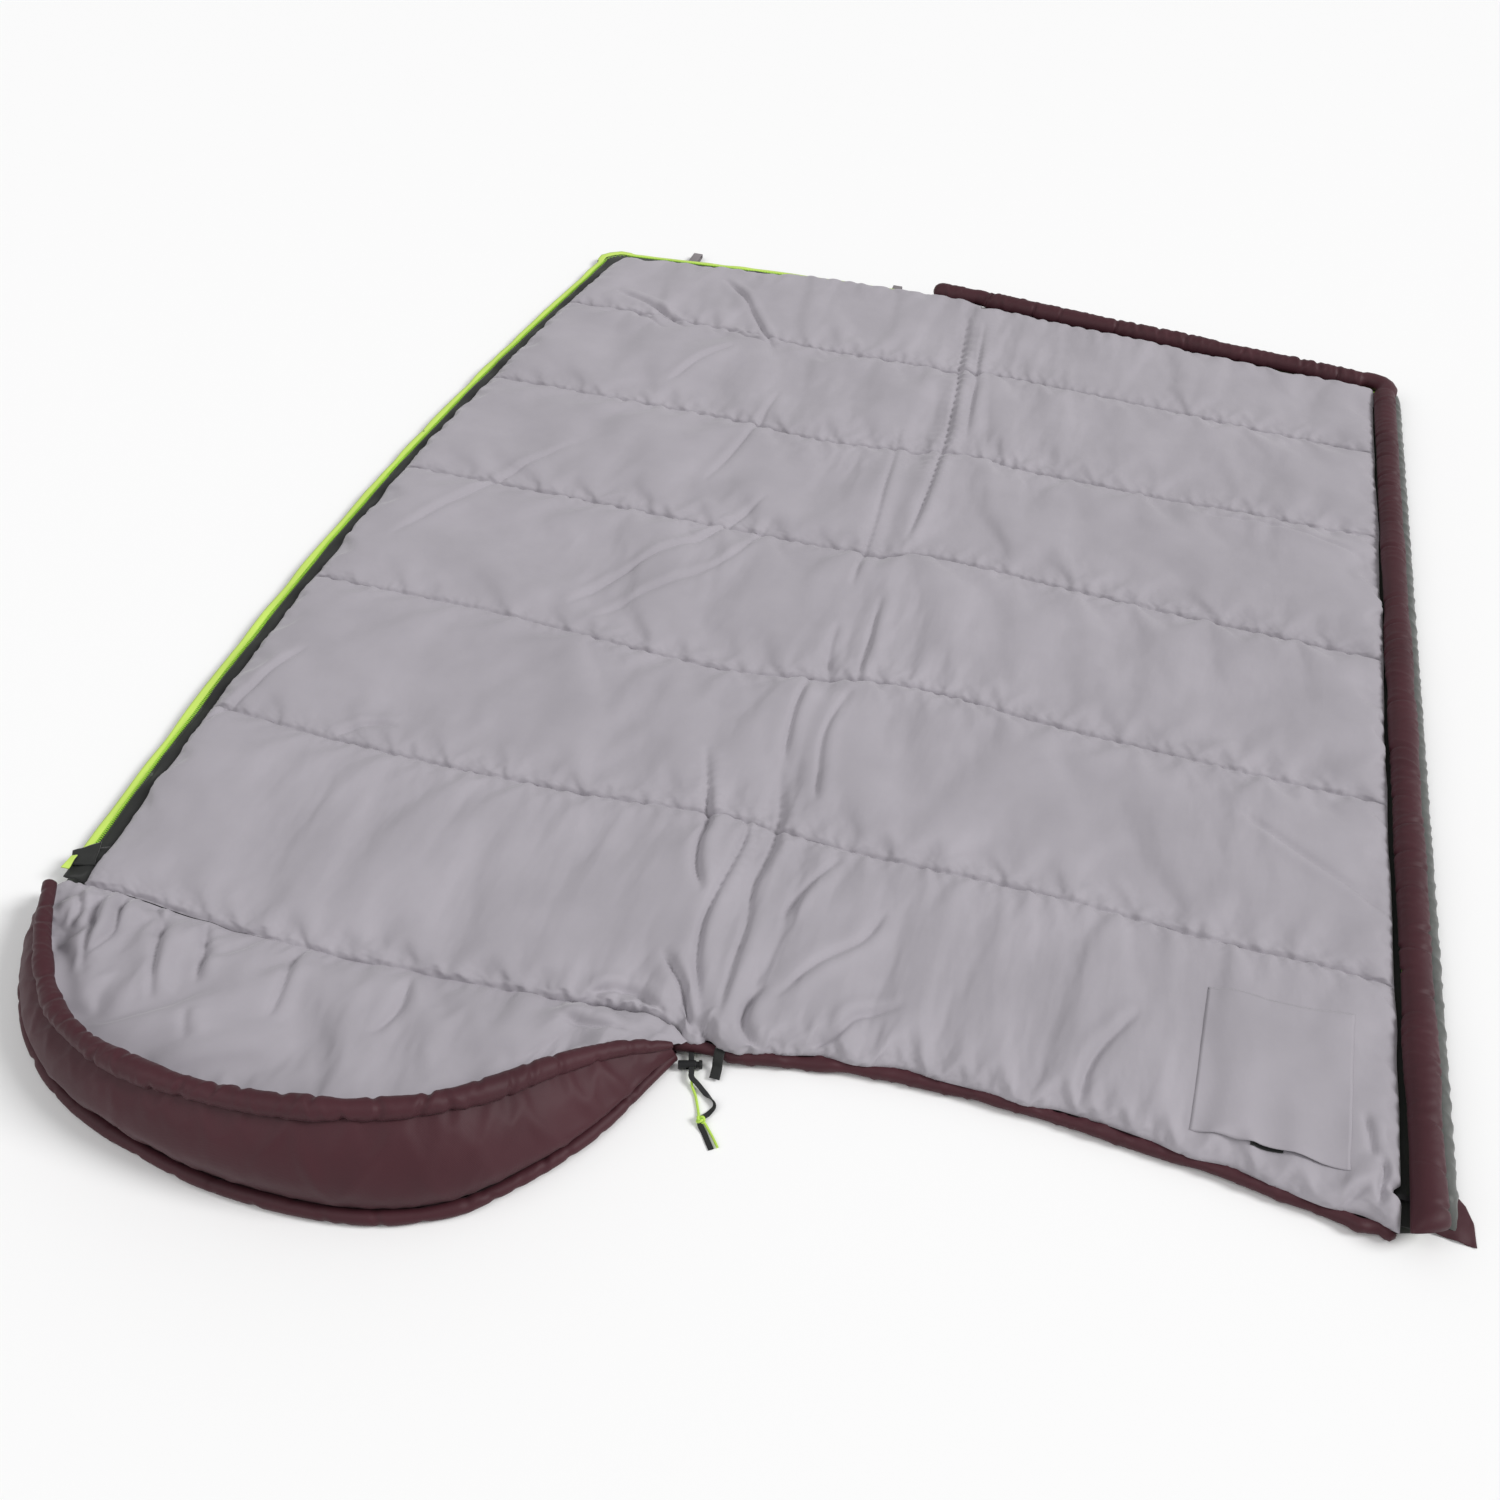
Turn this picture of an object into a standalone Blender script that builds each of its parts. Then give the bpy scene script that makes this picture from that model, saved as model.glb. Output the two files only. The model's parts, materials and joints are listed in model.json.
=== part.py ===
"""Hooded rectangular sleeping bag, unzipped and opened flat with its lining up.

Frame: metres. X runs across the bag, the under half with the hood at -X and the upper half at +X, so that
x = 0 is the centre fold. Y runs along the bag, the head at -Y and the foot at +Y. Z is up, and z = 0 is the
surface that the bag lies on.
"""
import math

import bmesh
import bpy
from mathutils import Euler, Vector

# Length and fold
HEAD = -0.985
SEAM_GAP = 0.015
FOLD_GAP = 0.0015
FOLD_HEIGHT = 0.048
NECK_Y = HEAD - 0.005
NECK_HEIGHT = 0.045
NECK_X = -0.405

# Layers of the quilted pad, from the floor up
FABRIC = 0.0012
CLEAR = 0.0003
PAD_HEIGHT = 0.036
LEDGE = 0.012
RIM_ROUNDING = 0.008

# Plan of the two halves
UNDER_SIDE_X = -0.760
UNDER_SIDE_BOW = 0.050
UNDER_FOOT = [(-FOLD_GAP, 0.958), (-0.10, 0.962), (-0.43, 0.955), (UNDER_SIDE_X, 0.925)]
UPPER_SIDE_X = 0.745
UPPER_HEAD = [(FOLD_GAP, HEAD), (0.18, HEAD + 0.035), (0.32, HEAD + 0.040), (0.51, HEAD + 0.028),
              (UPPER_SIDE_X, HEAD)]
UPPER_FOOT_AT_FOLD = 0.946
UPPER_FOOT_AT_SIDE = 0.858

# Zip: widths are measured outwards from the edge of the pad
TAPE_START = 0.001
TAPE_END = 0.0235
TAPE_Z = LEDGE + CLEAR
TAPE_THICKNESS = 0.001
COIL_WIDTH = 0.006
COIL_HEIGHT = 0.004
COIL_Z = TAPE_Z + TAPE_THICKNESS + CLEAR
LIME_WIDTH = 0.016
ZIP_END_X = 0.125
SLIDER_LENGTH = 0.016
SLIDER_WALL = 0.002
SLIDER_FROM_HEAD = 0.030
SLIDER_FROM_END = 0.016
SLIDER_PLAY = 0.0008
SLIDER_TAPE_SIDE = 0.0030
POST_RADIUS = 0.0016
POST_HEIGHT = 0.0026
PULLER_LENGTH = 0.018
PULLER_X = -0.0030
PULLER_EYE_RADIUS = 0.0036
PULLER_TIP_RADIUS = 0.0032
PULLER_HOLE_RADIUS = 0.0019
PULLER_THICKNESS = 0.0018
PIN_LENGTH = 0.022
PIN_RADIUS = 0.0012
BOX_NEAR, BOX_FAR = 0.004, 0.016
BOX_INNER, BOX_OUTER = 0.0055, 0.0045
BOX_BELOW, BOX_ABOVE = 0.001, 0.0055

# Draught tube
TUBE_OFFSET = 0.037
SHELL_MARGIN = TAPE_END + CLEAR + LIME_WIDTH + 0.001
SHELL_SIDE_EXTRA = 0.031
SHELL_FOOT_EXTRA = 0.020
TUBE_WIDTH = 0.036
TUBE_HEIGHT = 0.028
TUBE_Z = 0.0255
TUBE_END_Z = 0.0125
TUBE_END_X = -0.100

# Hood: the line of the hem on the floor, and the line of the rim's centre
HEM_LINE = [(-0.800, -1.000), (-0.767, -1.095), (-0.726, -1.159), (-0.678, -1.209), (-0.600, -1.256),
            (-0.463, -1.293), (-0.350, -1.300), (-0.250, -1.288), (-0.170, -1.253), (-0.110, -1.190),
            (-0.063, -1.116), (-0.018, -1.004)]
RIM_LINE = [(-0.781, -1.016, 0.045), (-0.733, -1.093, 0.060), (-0.672, -1.168, 0.070),
            (-0.610, -1.214, 0.083), (-0.532, -1.245, 0.097), (-0.427, -1.258, 0.107),
            (-0.323, -1.249, 0.112), (-0.232, -1.219, 0.110), (-0.168, -1.170, 0.098),
            (-0.114, -1.096, 0.072), (-0.070, -1.044, 0.050), (-0.022, -1.006, 0.030)]
RIM_RADIUS = 0.012
RIM_WALL = 0.0012
HEM_RADIUS = 0.004
DRAWCORD_RADIUS = 0.0015
WALL_THICKNESS = 0.016
WALL_BULGE = 0.020
WALL_START_Z = LEDGE + 0.003
WALL_RIM_GAP = 0.0008
WALL_CLEAR = 0.0010
WALL_FULL_HEIGHT = 0.085
WALL_STEPS = 44
WALL_LOW_STEPS = 6
WALL_ROWS = 6
HOOD_PAD_INSET = 0.046

# Cord lock, cords and knot
LOCK_CENTRE = Vector((0.0020, -1.0065, 0.0060))
LOCK_TURN = math.radians(18)
LOCK_RADIUS = 0.0052
LOCK_ROUNDING = 0.0012
LOCK_LEFT = -0.0130
LOCK_RIGHT = 0.0074
SLOT_LEFT = -0.0043
SLOT_RIGHT = 0.0055
SLOT_HALF_HEIGHT = 0.0026
BUTTON_TRAVEL = 0.0025
BUTTON_END = 0.0140
STEM_RADIUS = 0.0036
BORE_RADIUS = 0.0038
BORE_END = -0.0115
STEM_START = -0.0060
SPRING_RADIUS = 0.0028
SPRING_WIRE = 0.00035
FLAT_CORD_WIDTH = 0.0064
FLAT_CORD_THICKNESS = 0.0012
ROUND_CORD_RADIUS = 0.0015
CORD_LANE = 0.0019
STRAIGHT_START = -0.0165
STRAIGHT_END = 0.0180
FLAT_CORD_Z = 0.0078
ROUND_CORD_Z = 0.0053
FLAT_CORD_ROUTE = [(0.0175, -1.0285, 0.0066), (0.0300, -1.0362, 0.0026), (0.0395, -1.0430, 0.0036),
                   (0.0433, -1.0505, 0.0036), (0.0400, -1.0590, 0.0022), (0.0366, -1.0655, 0.0036)]
ROUND_CORD_ROUTE = [(0.0125, -1.0310, 0.0034), (0.0190, -1.0400, 0.0018), (0.0240, -1.0500, 0.0018),
                    (0.0280, -1.0585, 0.0018), (0.0312, -1.0664, 0.0030)]
KNOT_CENTRE = (0.0345, -1.0712, 0.0048)
KNOT_RADIUS = 0.0046
FLAT_TAIL_ROUTE = [(0.0360, -1.0765, 0.0026), (0.0420, -1.0830, 0.0010), (0.0490, -1.0925, 0.0010),
                   (0.0555, -1.1010, 0.0010)]
ROUND_TAIL_ROUTE = [(0.0395, -1.0728, 0.0030), (0.0460, -1.0790, 0.0018), (0.0540, -1.0880, 0.0018),
                    (0.0612, -1.0970, 0.0018)]

# Small trim
HEAD_HEM_RADIUS = 0.0055
HEM_START_X = 0.020
TAB_LEFT, TAB_RIGHT, TAB_END = 0.0240, 0.0360, -1.0130
TAB_LOW, TAB_HIGH = 0.0030, 0.0046
GARAGE_OUTLINE = [(-0.801, -0.959), (-0.773, -0.966), (-0.767, -0.928), (-0.796, -0.921)]
LIME_TAB_OUTLINE = [(-0.806, -0.962), (-0.8014, -0.9632), (-0.7972, -0.9200), (-0.8030, -0.9190)]
GARAGE_Z = 0.0185
GARAGE_THICKNESS = 0.0030
LIME_TAB_THICKNESS = 0.0045
LOOP_Z = 0.0070
POCKET_LEFT, POCKET_RIGHT = 0.543, 0.707
POCKET_MOUTH, POCKET_TOP = -0.935, -0.733
POCKET_SLOT = 0.0065
POCKET_SEAM = 0.003
CLOSURE_LENGTH, CLOSURE_DEPTH, CLOSURE_THICKNESS = 0.028, 0.013, 0.0012
FLAP_CORNERS = [(0.8155, -0.975), (0.8340, -0.972), (0.8420, -0.966), (0.8380, -0.945),
                (0.8300, -0.930), (0.8155, -0.918)]
FLAP_LOW, FLAP_HIGH = 0.0005, 0.0020
FLAP_HINGE = Vector((0.8145, -0.945, 0.0140))
LOOP_X = (-0.620, -0.186)
LOOP_WIDTH = 0.018
LOOP_REACH = 0.024
LOOP_HALF_HEIGHT = 0.0040
LOOP_WALL = 0.0012

OLIVE = ("shell_fabric", (0.115, 0.120, 0.112), 0.55)
MAROON = ("maroon_fabric", (0.085, 0.030, 0.038), 0.55)
GREY = ("lining_fabric", (0.390, 0.375, 0.410), 0.85)
WADDING = ("wadding", (0.850, 0.850, 0.840), 0.95)
BLACK_TAPE = ("zip_tape", (0.020, 0.020, 0.021), 0.80)
LIME = ("lime_coil", (0.350, 0.800, 0.080), 0.45)
BLACK_PLASTIC = ("black_plastic", (0.015, 0.015, 0.016), 0.40)
BLACK_CORD = ("black_cord", (0.020, 0.020, 0.021), 0.80)
LIME_CORD = ("lime_cord", (0.450, 0.850, 0.100), 0.75)
STEEL = ("spring_steel", (0.600, 0.600, 0.620), 0.30)
GREY_WEBBING = ("grey_webbing", (0.200, 0.180, 0.200), 0.85)
METAL_LOOKS = {"spring_steel": 1.0}

# Beginnings of the names of what turns with the upper half
UPPER_BODY = ("upper_half_", "zip_tape_right", "zip_coil_right", "retaining_box", "draught_tube_side_",
              "draught_tube_foot_", "head_hem", "hanging_tab", "inside_pocket", "pocket_", "head_slider_path",
              "foot_slider_path", "corner_flap_hinge")


def start_scene():
    """Empty the scene and make the two collections."""
    for item in list(bpy.data.objects):
        bpy.data.objects.remove(item, do_unlink=True)
    made = []
    for name in ("sleeping_bag", "cutters"):
        collection = bpy.data.collections.new(name)
        bpy.context.scene.collection.children.link(collection)
        made.append(collection)
    return made


BAG, CUTTERS = start_scene()


# ---------------------------------------------------------------- helpers

def material(look):
    name, colour, roughness = look
    made = bpy.data.materials.get(name)
    if made is None:
        made = bpy.data.materials.new(name)
        made.use_nodes = True
        shader = made.node_tree.nodes["Principled BSDF"]
        shader.inputs["Base Color"].default_value = (*colour, 1.0)
        shader.inputs["Roughness"].default_value = roughness
        shader.inputs["Metallic"].default_value = METAL_LOOKS.get(name, 0.0)
    return made


def smooth_line(points, count):
    """count points along a Catmull-Rom curve through the given points."""
    path = [Vector(p) for p in points]
    path = [2 * path[0] - path[1], *path, 2 * path[-1] - path[-2]]
    spans = len(path) - 3
    line = []
    for i in range(count):
        place = i / (count - 1) * spans
        span = min(int(place), spans - 1)
        t = place - span
        a, b, c, d = path[span:span + 4]
        line.append(0.5 * (2 * b + (c - a) * t + (2 * a - 5 * b + 4 * c - d) * t ** 2
                           + (3 * b - a - 3 * c + d) * t ** 3))
    return line


def offset_line(points, distance):
    """An open line moved sideways: to the left of its direction for a positive distance."""
    flat = [Vector(p[:2]) for p in points]
    moved = []
    for i, point in enumerate(flat):
        before = (point - flat[i - 1]).normalized() if i else None
        after = (flat[i + 1] - point).normalized() if i + 1 < len(flat) else None
        before = before or after
        after = after or before
        along = (before + after).normalized()
        left = Vector((-along.y, along.x))
        moved.append(point + left * distance / max(along.dot(after), 0.5))
    return moved


def offset_outline(points, distance):
    """A closed anticlockwise outline shrunk by distance (or grown, for a negative one)."""
    closed = [points[-1], *points, points[0]]
    return offset_line(closed, distance)[1:-1]


def link(name, data, look):
    item = bpy.data.objects.new(name, data)
    data.materials.append(material(look))
    BAG.objects.link(item)
    return item


def prism(name, outline, low, high, look, rounding=0.0):
    """A flat piece with the given outline between two heights, its edges rounded if asked."""
    mesh = bpy.data.meshes.new(name)
    bm = bmesh.new()
    face = bm.faces.new([bm.verts.new((p[0], p[1], low)) for p in outline])
    bmesh.ops.recalc_face_normals(bm, faces=[face])
    lift = bmesh.ops.extrude_face_region(bm, geom=[face])
    moved = [v for v in lift["geom"] if isinstance(v, bmesh.types.BMVert)]
    bmesh.ops.translate(bm, verts=moved, vec=(0, 0, high - low))
    bmesh.ops.recalc_face_normals(bm, faces=bm.faces)
    bm.to_mesh(mesh)
    bm.free()
    item = link(name, mesh, look)
    if rounding:
        bevel = item.modifiers.new("rounding", "BEVEL")
        bevel.width = rounding
        bevel.segments = 2
        bevel.limit_method = "ANGLE"
        bevel.angle_limit = math.radians(60)
    return item


def tray(name, outline, floor, rim, look):
    """A sheet with a turned-up edge: floor is its outer face and rim the height that its edge reaches."""
    mesh = bpy.data.meshes.new(name)
    bm = bmesh.new()
    face = bm.faces.new([bm.verts.new((p[0], p[1], floor)) for p in outline])
    bmesh.ops.recalc_face_normals(bm, faces=[face])
    sides = bmesh.ops.extrude_edge_only(bm, edges=list(face.edges))
    moved = [v for v in sides["geom"] if isinstance(v, bmesh.types.BMVert)]
    bmesh.ops.translate(bm, verts=moved, vec=(0, 0, rim - floor))
    bmesh.ops.recalc_face_normals(bm, faces=bm.faces)
    if (face.normal.z > 0) == (rim > floor):
        bmesh.ops.reverse_faces(bm, faces=bm.faces)
    bm.to_mesh(mesh)
    bm.free()
    item = link(name, mesh, look)
    solidify = item.modifiers.new("fabric", "SOLIDIFY")
    solidify.thickness = FABRIC
    solidify.offset = -1
    solidify.use_even_offset = True
    return item


def pipe(name, points, radius, look, sides=2, wall=0.0):
    """A round bar along the points, or a hollow tube with open ends where a wall is given."""
    curve = bpy.data.curves.new(name, "CURVE")
    curve.dimensions = "3D"
    spline = curve.splines.new("POLY")
    spline.points.add(len(points) - 1)
    for target, point in zip(spline.points, points):
        target.co = (*point, 1)
    curve.bevel_depth = radius
    curve.bevel_resolution = sides
    curve.use_fill_caps = not wall
    item = link(name, curve, look)
    if wall:
        item = as_mesh(item)
        solidify = item.modifiers.new("fabric", "SOLIDIFY")
        solidify.thickness = wall
        solidify.offset = -1
    return item


def as_mesh(item):
    """The evaluated mesh of an object in its place, under its name and with its caps welded."""
    name = item.name
    graph = bpy.context.evaluated_depsgraph_get()
    mesh = bpy.data.meshes.new_from_object(item.evaluated_get(graph))
    bm = bmesh.new()
    bm.from_mesh(mesh)
    bmesh.ops.remove_doubles(bm, verts=bm.verts, dist=1e-6)
    bmesh.ops.recalc_face_normals(bm, faces=bm.faces)
    bm.to_mesh(mesh)
    bm.free()
    matrix = item.matrix_world.copy()
    bpy.data.objects.remove(item, do_unlink=True)
    made = bpy.data.objects.new(name, mesh)
    made.matrix_world = matrix
    BAG.objects.link(made)
    return made


def cylinder(name, start, end, radius, look, segments=24, rounding=0.0):
    """A round bar between two points."""
    start, end = Vector(start), Vector(end)
    mesh = bpy.data.meshes.new(name)
    bm = bmesh.new()
    bmesh.ops.create_cone(bm, cap_ends=True, segments=segments, radius1=radius, radius2=radius,
                          depth=(end - start).length)
    turn = (end - start).to_track_quat("Z", "Y").to_matrix().to_4x4()
    bmesh.ops.transform(bm, matrix=turn, verts=bm.verts)
    bmesh.ops.translate(bm, verts=bm.verts, vec=(start + end) / 2)
    bm.to_mesh(mesh)
    bm.free()
    item = link(name, mesh, look)
    if rounding:
        bevel = item.modifiers.new("rounding", "BEVEL")
        bevel.width = rounding
        bevel.segments = 3
        bevel.limit_method = "ANGLE"
    return item


def box(name, low, high, look, rounding=0.0):
    low, high = Vector(low), Vector(high)
    mesh = bpy.data.meshes.new(name)
    bm = bmesh.new()
    bmesh.ops.create_cube(bm, size=1)
    bmesh.ops.scale(bm, vec=high - low, verts=bm.verts)
    bmesh.ops.translate(bm, verts=bm.verts, vec=(low + high) / 2)
    bm.to_mesh(mesh)
    bm.free()
    item = link(name, mesh, look)
    if rounding:
        bevel = item.modifiers.new("rounding", "BEVEL")
        bevel.width = rounding
        bevel.segments = 2
    return item


def boolean(item, other, operation):
    """Join other to item, or cut it out, and put other with the cutters."""
    step = item.modifiers.new(other.name, "BOOLEAN")
    step.operation = operation
    step.object = other
    BAG.objects.unlink(other)
    CUTTERS.objects.link(other)
    other.hide_render = True
    other.display_type = "WIRE"


def pivot(name, place):
    """An empty on a joint's axis."""
    item = bpy.data.objects.new(name, None)
    item.location = place
    item.empty_display_size = 0.02
    BAG.objects.link(item)
    return item


def parent_to(item, axis):
    """Parent an object to an empty that isn't turned, and keep the object in place."""
    item.parent = axis
    item.matrix_parent_inverse = axis.matrix_basis.inverted()


def hang_on(axis, prefixes):
    """Parent everything of one moving body to the empty on its joint's axis."""
    for item in [*BAG.objects, *CUTTERS.objects]:
        if item.parent is None and item.name.startswith(prefixes):
            parent_to(item, axis)


# ---------------------------------------------------------------- outlines

def under_edge():
    """The under half's foot edge from the fold, then its bowed side down to the head."""
    line = [p.xy for p in smooth_line([(*p, 0) for p in UNDER_FOOT], 8)]
    foot = line[-1].y
    steps = 14
    for i in range(1, steps + 1):
        y = foot + (HEAD + SEAM_GAP - foot) * i / steps
        bow = UNDER_SIDE_BOW * math.sin(math.pi * i / steps)
        line.append(Vector((UNDER_SIDE_X - bow, y)))
    return line


def upper_edge():
    """The upper half's side from the head, then its slanting foot edge to the fold."""
    return [Vector((UPPER_SIDE_X, HEAD)), Vector((UPPER_SIDE_X, UPPER_FOOT_AT_SIDE)),
            Vector((FOLD_GAP, UPPER_FOOT_AT_FOLD))]


def upper_head():
    """The upper half's head edge, drawn in between the fold and the corner."""
    return [p.xy for p in smooth_line([(*p, 0) for p in UPPER_HEAD], 14)]


def foot_seam(x, outward):
    """A point of the upper half's foot edge, or of a line outside it."""
    start, end = offset_line(upper_edge(), -outward)[1:]
    return start.lerp(end, (x - start.x) / (end.x - start.x))


def tube_line():
    """The centre line of the draught tube, from the head to the corner and to the fold."""
    line = offset_line(upper_edge(), -TUBE_OFFSET)
    return line[0], line[1], foot_seam(FOLD_GAP + 0.002, TUBE_OFFSET)


# ---------------------------------------------------------------- quilted pads

def quilted_pad(prefix, outline, shell_outline, shell_look):
    """Shell tray, lining lid and filling of one part of the bag."""
    lining_edge = TAPE_Z + TAPE_THICKNESS + CLEAR
    tray(prefix + "_shell", shell_outline, 0.0, LEDGE, shell_look)
    tray(prefix + "_lining", outline, PAD_HEIGHT, lining_edge, GREY)
    prism(prefix + "_filling", offset_outline(outline, FABRIC + CLEAR), FABRIC + CLEAR,
          PAD_HEIGHT - FABRIC - CLEAR, WADDING, rounding=RIM_ROUNDING)


def under_half():
    edge = under_edge()
    pad = [Vector((-FOLD_GAP, HEAD + SEAM_GAP)), *edge]
    shell = offset_line(edge, -SHELL_MARGIN)
    shell[0].x = -FOLD_GAP
    shell[-1].y = NECK_Y + FOLD_GAP
    quilted_pad("under_half", pad, [Vector((-FOLD_GAP, NECK_Y + FOLD_GAP)), *shell], OLIVE)


def upper_half():
    edge = upper_edge()
    pad = [*upper_head(), *edge[1:]]
    side, corner, end = offset_line(edge, -TUBE_OFFSET)
    shell_x = side.x + SHELL_SIDE_EXTRA
    shell = [*upper_head(), Vector((shell_x, HEAD)),
             Vector((shell_x, corner.y + SHELL_FOOT_EXTRA)), Vector((FOLD_GAP, end.y + SHELL_FOOT_EXTRA))]
    quilted_pad("upper_half", pad, shell, OLIVE)


# ---------------------------------------------------------------- zip

def band(name, line, inner, outer, low, high, look):
    """A flat strip along the outside of a pad's edge, between two offsets from it."""
    outline = [*offset_line(line, -inner), *offset_line(line, -outer)[::-1]]
    return prism(name, outline, low, high, look)


def trimmed(line, x):
    """The part of a pad's edge that lies further out than x, with its end at x."""
    kept = [p for p in line if abs(p.x) > abs(x)]
    before = [p for p in line if abs(p.x) <= abs(x)]
    near, far = (before[-1], kept[0]) if before and before[0] is line[0] else (before[0], kept[-1])
    end = near.lerp(far, (x - near.x) / (far.x - near.x))
    return [end, *kept] if near is before[-1] and before[0] is line[0] else [*kept, end]


def zips():
    """Tapes and coils: the under half's has a lime edge outside its black tape."""
    left = trimmed(under_edge(), -ZIP_END_X)
    band("zip_tape_left", left, TAPE_START, TAPE_END, TAPE_Z, TAPE_Z + TAPE_THICKNESS, BLACK_TAPE)
    lime_start = TAPE_END + CLEAR
    band("zip_coil_left", left, lime_start, lime_start + LIME_WIDTH, TAPE_Z, COIL_Z + COIL_HEIGHT / 2, LIME)
    right = trimmed(upper_edge(), ZIP_END_X)
    band("zip_tape_right", right, TAPE_START, TAPE_END, TAPE_Z, TAPE_Z + TAPE_THICKNESS, BLACK_TAPE)
    coil_start = TAPE_END + CLEAR
    band("zip_coil_right", right, coil_start, coil_start + COIL_WIDTH, TAPE_Z, TAPE_Z + COIL_HEIGHT, LIME)


def zip_ends():
    """Insertion pin on the left coil's foot end, retaining box on the right coil's."""
    middle = TAPE_END + CLEAR + COIL_WIDTH / 2
    left = offset_line(trimmed(under_edge(), -ZIP_END_X), -middle)[0]
    pin_z = COIL_Z + 0.0005
    cylinder("insertion_pin", (left.x + CLEAR, left.y, pin_z), (left.x + PIN_LENGTH, left.y, pin_z),
             PIN_RADIUS, BLACK_PLASTIC, segments=12)
    right = offset_line(trimmed(upper_edge(), ZIP_END_X), -middle)[-1]
    box("retaining_box", (right.x - BOX_FAR, right.y - BOX_INNER, TAPE_Z - BOX_BELOW),
        (right.x - BOX_NEAR, right.y + BOX_OUTER, TAPE_Z + BOX_ABOVE), BLACK_PLASTIC, rounding=0.001)


def slider(prefix, place, turn):
    """A slider that wraps the coil, open to the tape's side, and the puller on its post.

    The slider is drawn round the coil of a zip that runs along Y with its tape at -X, and then turned.
    """
    half = SLIDER_LENGTH / 2
    inner_left, inner_right = -COIL_WIDTH / 2 - SLIDER_TAPE_SIDE, COIL_WIDTH / 2 + SLIDER_PLAY
    low, high = TAPE_Z - SLIDER_PLAY, TAPE_Z + COIL_HEIGHT + SLIDER_PLAY
    body = box(prefix + "_slider", (inner_left, -half, low - SLIDER_WALL),
               (inner_right + SLIDER_WALL, half, high + SLIDER_WALL), BLACK_PLASTIC)
    channel = box(prefix + "_channel", (inner_left - 0.01, -half - 0.01, low),
                  (inner_right, half + 0.01, high), BLACK_PLASTIC)
    boolean(body, channel, "DIFFERENCE")
    top = high + SLIDER_WALL
    post = cylinder(prefix + "_post", (PULLER_X, 0, top - 0.0005), (PULLER_X, 0, top + POST_HEIGHT),
                    POST_RADIUS, BLACK_PLASTIC, segments=16)
    boolean(body, post, "UNION")
    puller = puller_tab(prefix + "_puller", top + CLEAR)
    stem = pivot(prefix + "_slider_path", place)
    swing = pivot(prefix + "_puller_pivot", (PULLER_X, 0, top))
    for item in (body, channel, post, swing):
        item.parent = stem
    parent_to(puller, swing)
    stem.rotation_euler.z = turn
    return stem


def puller_tab(name, low):
    """A flat tab with a round eye at its inner end and a rounded tip."""
    outline = []
    tip_x = PULLER_X - PULLER_LENGTH + PULLER_TIP_RADIUS
    steps = 12
    ends = ((PULLER_X, PULLER_EYE_RADIUS, -math.pi / 2), (tip_x, PULLER_TIP_RADIUS, math.pi / 2))
    for x, radius, start in ends:
        for i in range(steps + 1):
            angle = start + math.pi * i / steps
            outline.append(Vector((x + radius * math.cos(angle), radius * math.sin(angle))))
    tab = prism(name, outline, low, low + PULLER_THICKNESS, BLACK_PLASTIC)
    eye = cylinder(name + "_eye", (PULLER_X, 0, low - PULLER_LENGTH), (PULLER_X, 0, low + PULLER_LENGTH),
                   PULLER_HOLE_RADIUS, BLACK_PLASTIC, segments=16)
    boolean(tab, eye, "DIFFERENCE")
    eye.parent = tab
    return tab


def sliders():
    middle = TAPE_END + CLEAR + COIL_WIDTH / 2
    side, corner, end = offset_line(upper_edge(), -middle)
    slider("head", (side.x, HEAD + SLIDER_FROM_HEAD, 0), 0.0)
    along = corner - end
    start = offset_line(trimmed(upper_edge(), ZIP_END_X), -middle)[-1]
    place = start + along.normalized() * SLIDER_FROM_END
    slider("foot", (place.x, place.y, 0), math.atan2(along.y, along.x) + math.pi / 2)


# ---------------------------------------------------------------- draught tube

def tube_section(prefix, start, end, low):
    """A stuffed tube between two points of the plan: a fabric cover with open ends round a soft core."""
    height = low + TUBE_HEIGHT / 2
    cover = pipe(prefix + "_cover", [(start.x, start.y, height), (end.x, end.y, height)], TUBE_HEIGHT / 2,
                 MAROON, sides=2, wall=FABRIC)
    core = pipe(prefix + "_core", [(start.x, start.y, height), (end.x, end.y, height)],
                TUBE_HEIGHT / 2 - FABRIC - CLEAR, WADDING, sides=2)
    core = as_mesh(core)
    across = Vector((end.y - start.y, start.x - end.x)).normalized()
    for item in (cover, core):
        widen(item, start, across, TUBE_WIDTH / TUBE_HEIGHT)


def widen(item, centre, across, factor):
    """Stretch a mesh sideways from a line through centre."""
    for vertex in item.data.vertices:
        reach = (vertex.co.xy - centre).dot(across)
        vertex.co.xy += across * reach * (factor - 1)


def draught_tube():
    side, corner, end = tube_line()
    start = Vector((side.x, HEAD + 0.001))
    along_foot = (corner - end).normalized()
    tube_section("draught_tube_side", start, corner - Vector((0, TUBE_WIDTH / 2 + 0.003)), TUBE_Z)
    tube_section("draught_tube_foot", corner + Vector((TUBE_WIDTH / 2, 0)).project(along_foot), end, TUBE_Z)
    tail = Vector((-FOLD_GAP - 0.002, end.y + 0.002))
    tube_section("draught_tube_end", tail, Vector((TUBE_END_X, tail.y)), TUBE_END_Z)


# ---------------------------------------------------------------- hood

def hood_lines(count):
    hem = smooth_line([(*p, HEM_RADIUS + 0.0005) for p in HEM_LINE], count)
    rim = smooth_line(RIM_LINE, count)
    return hem, rim


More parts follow.
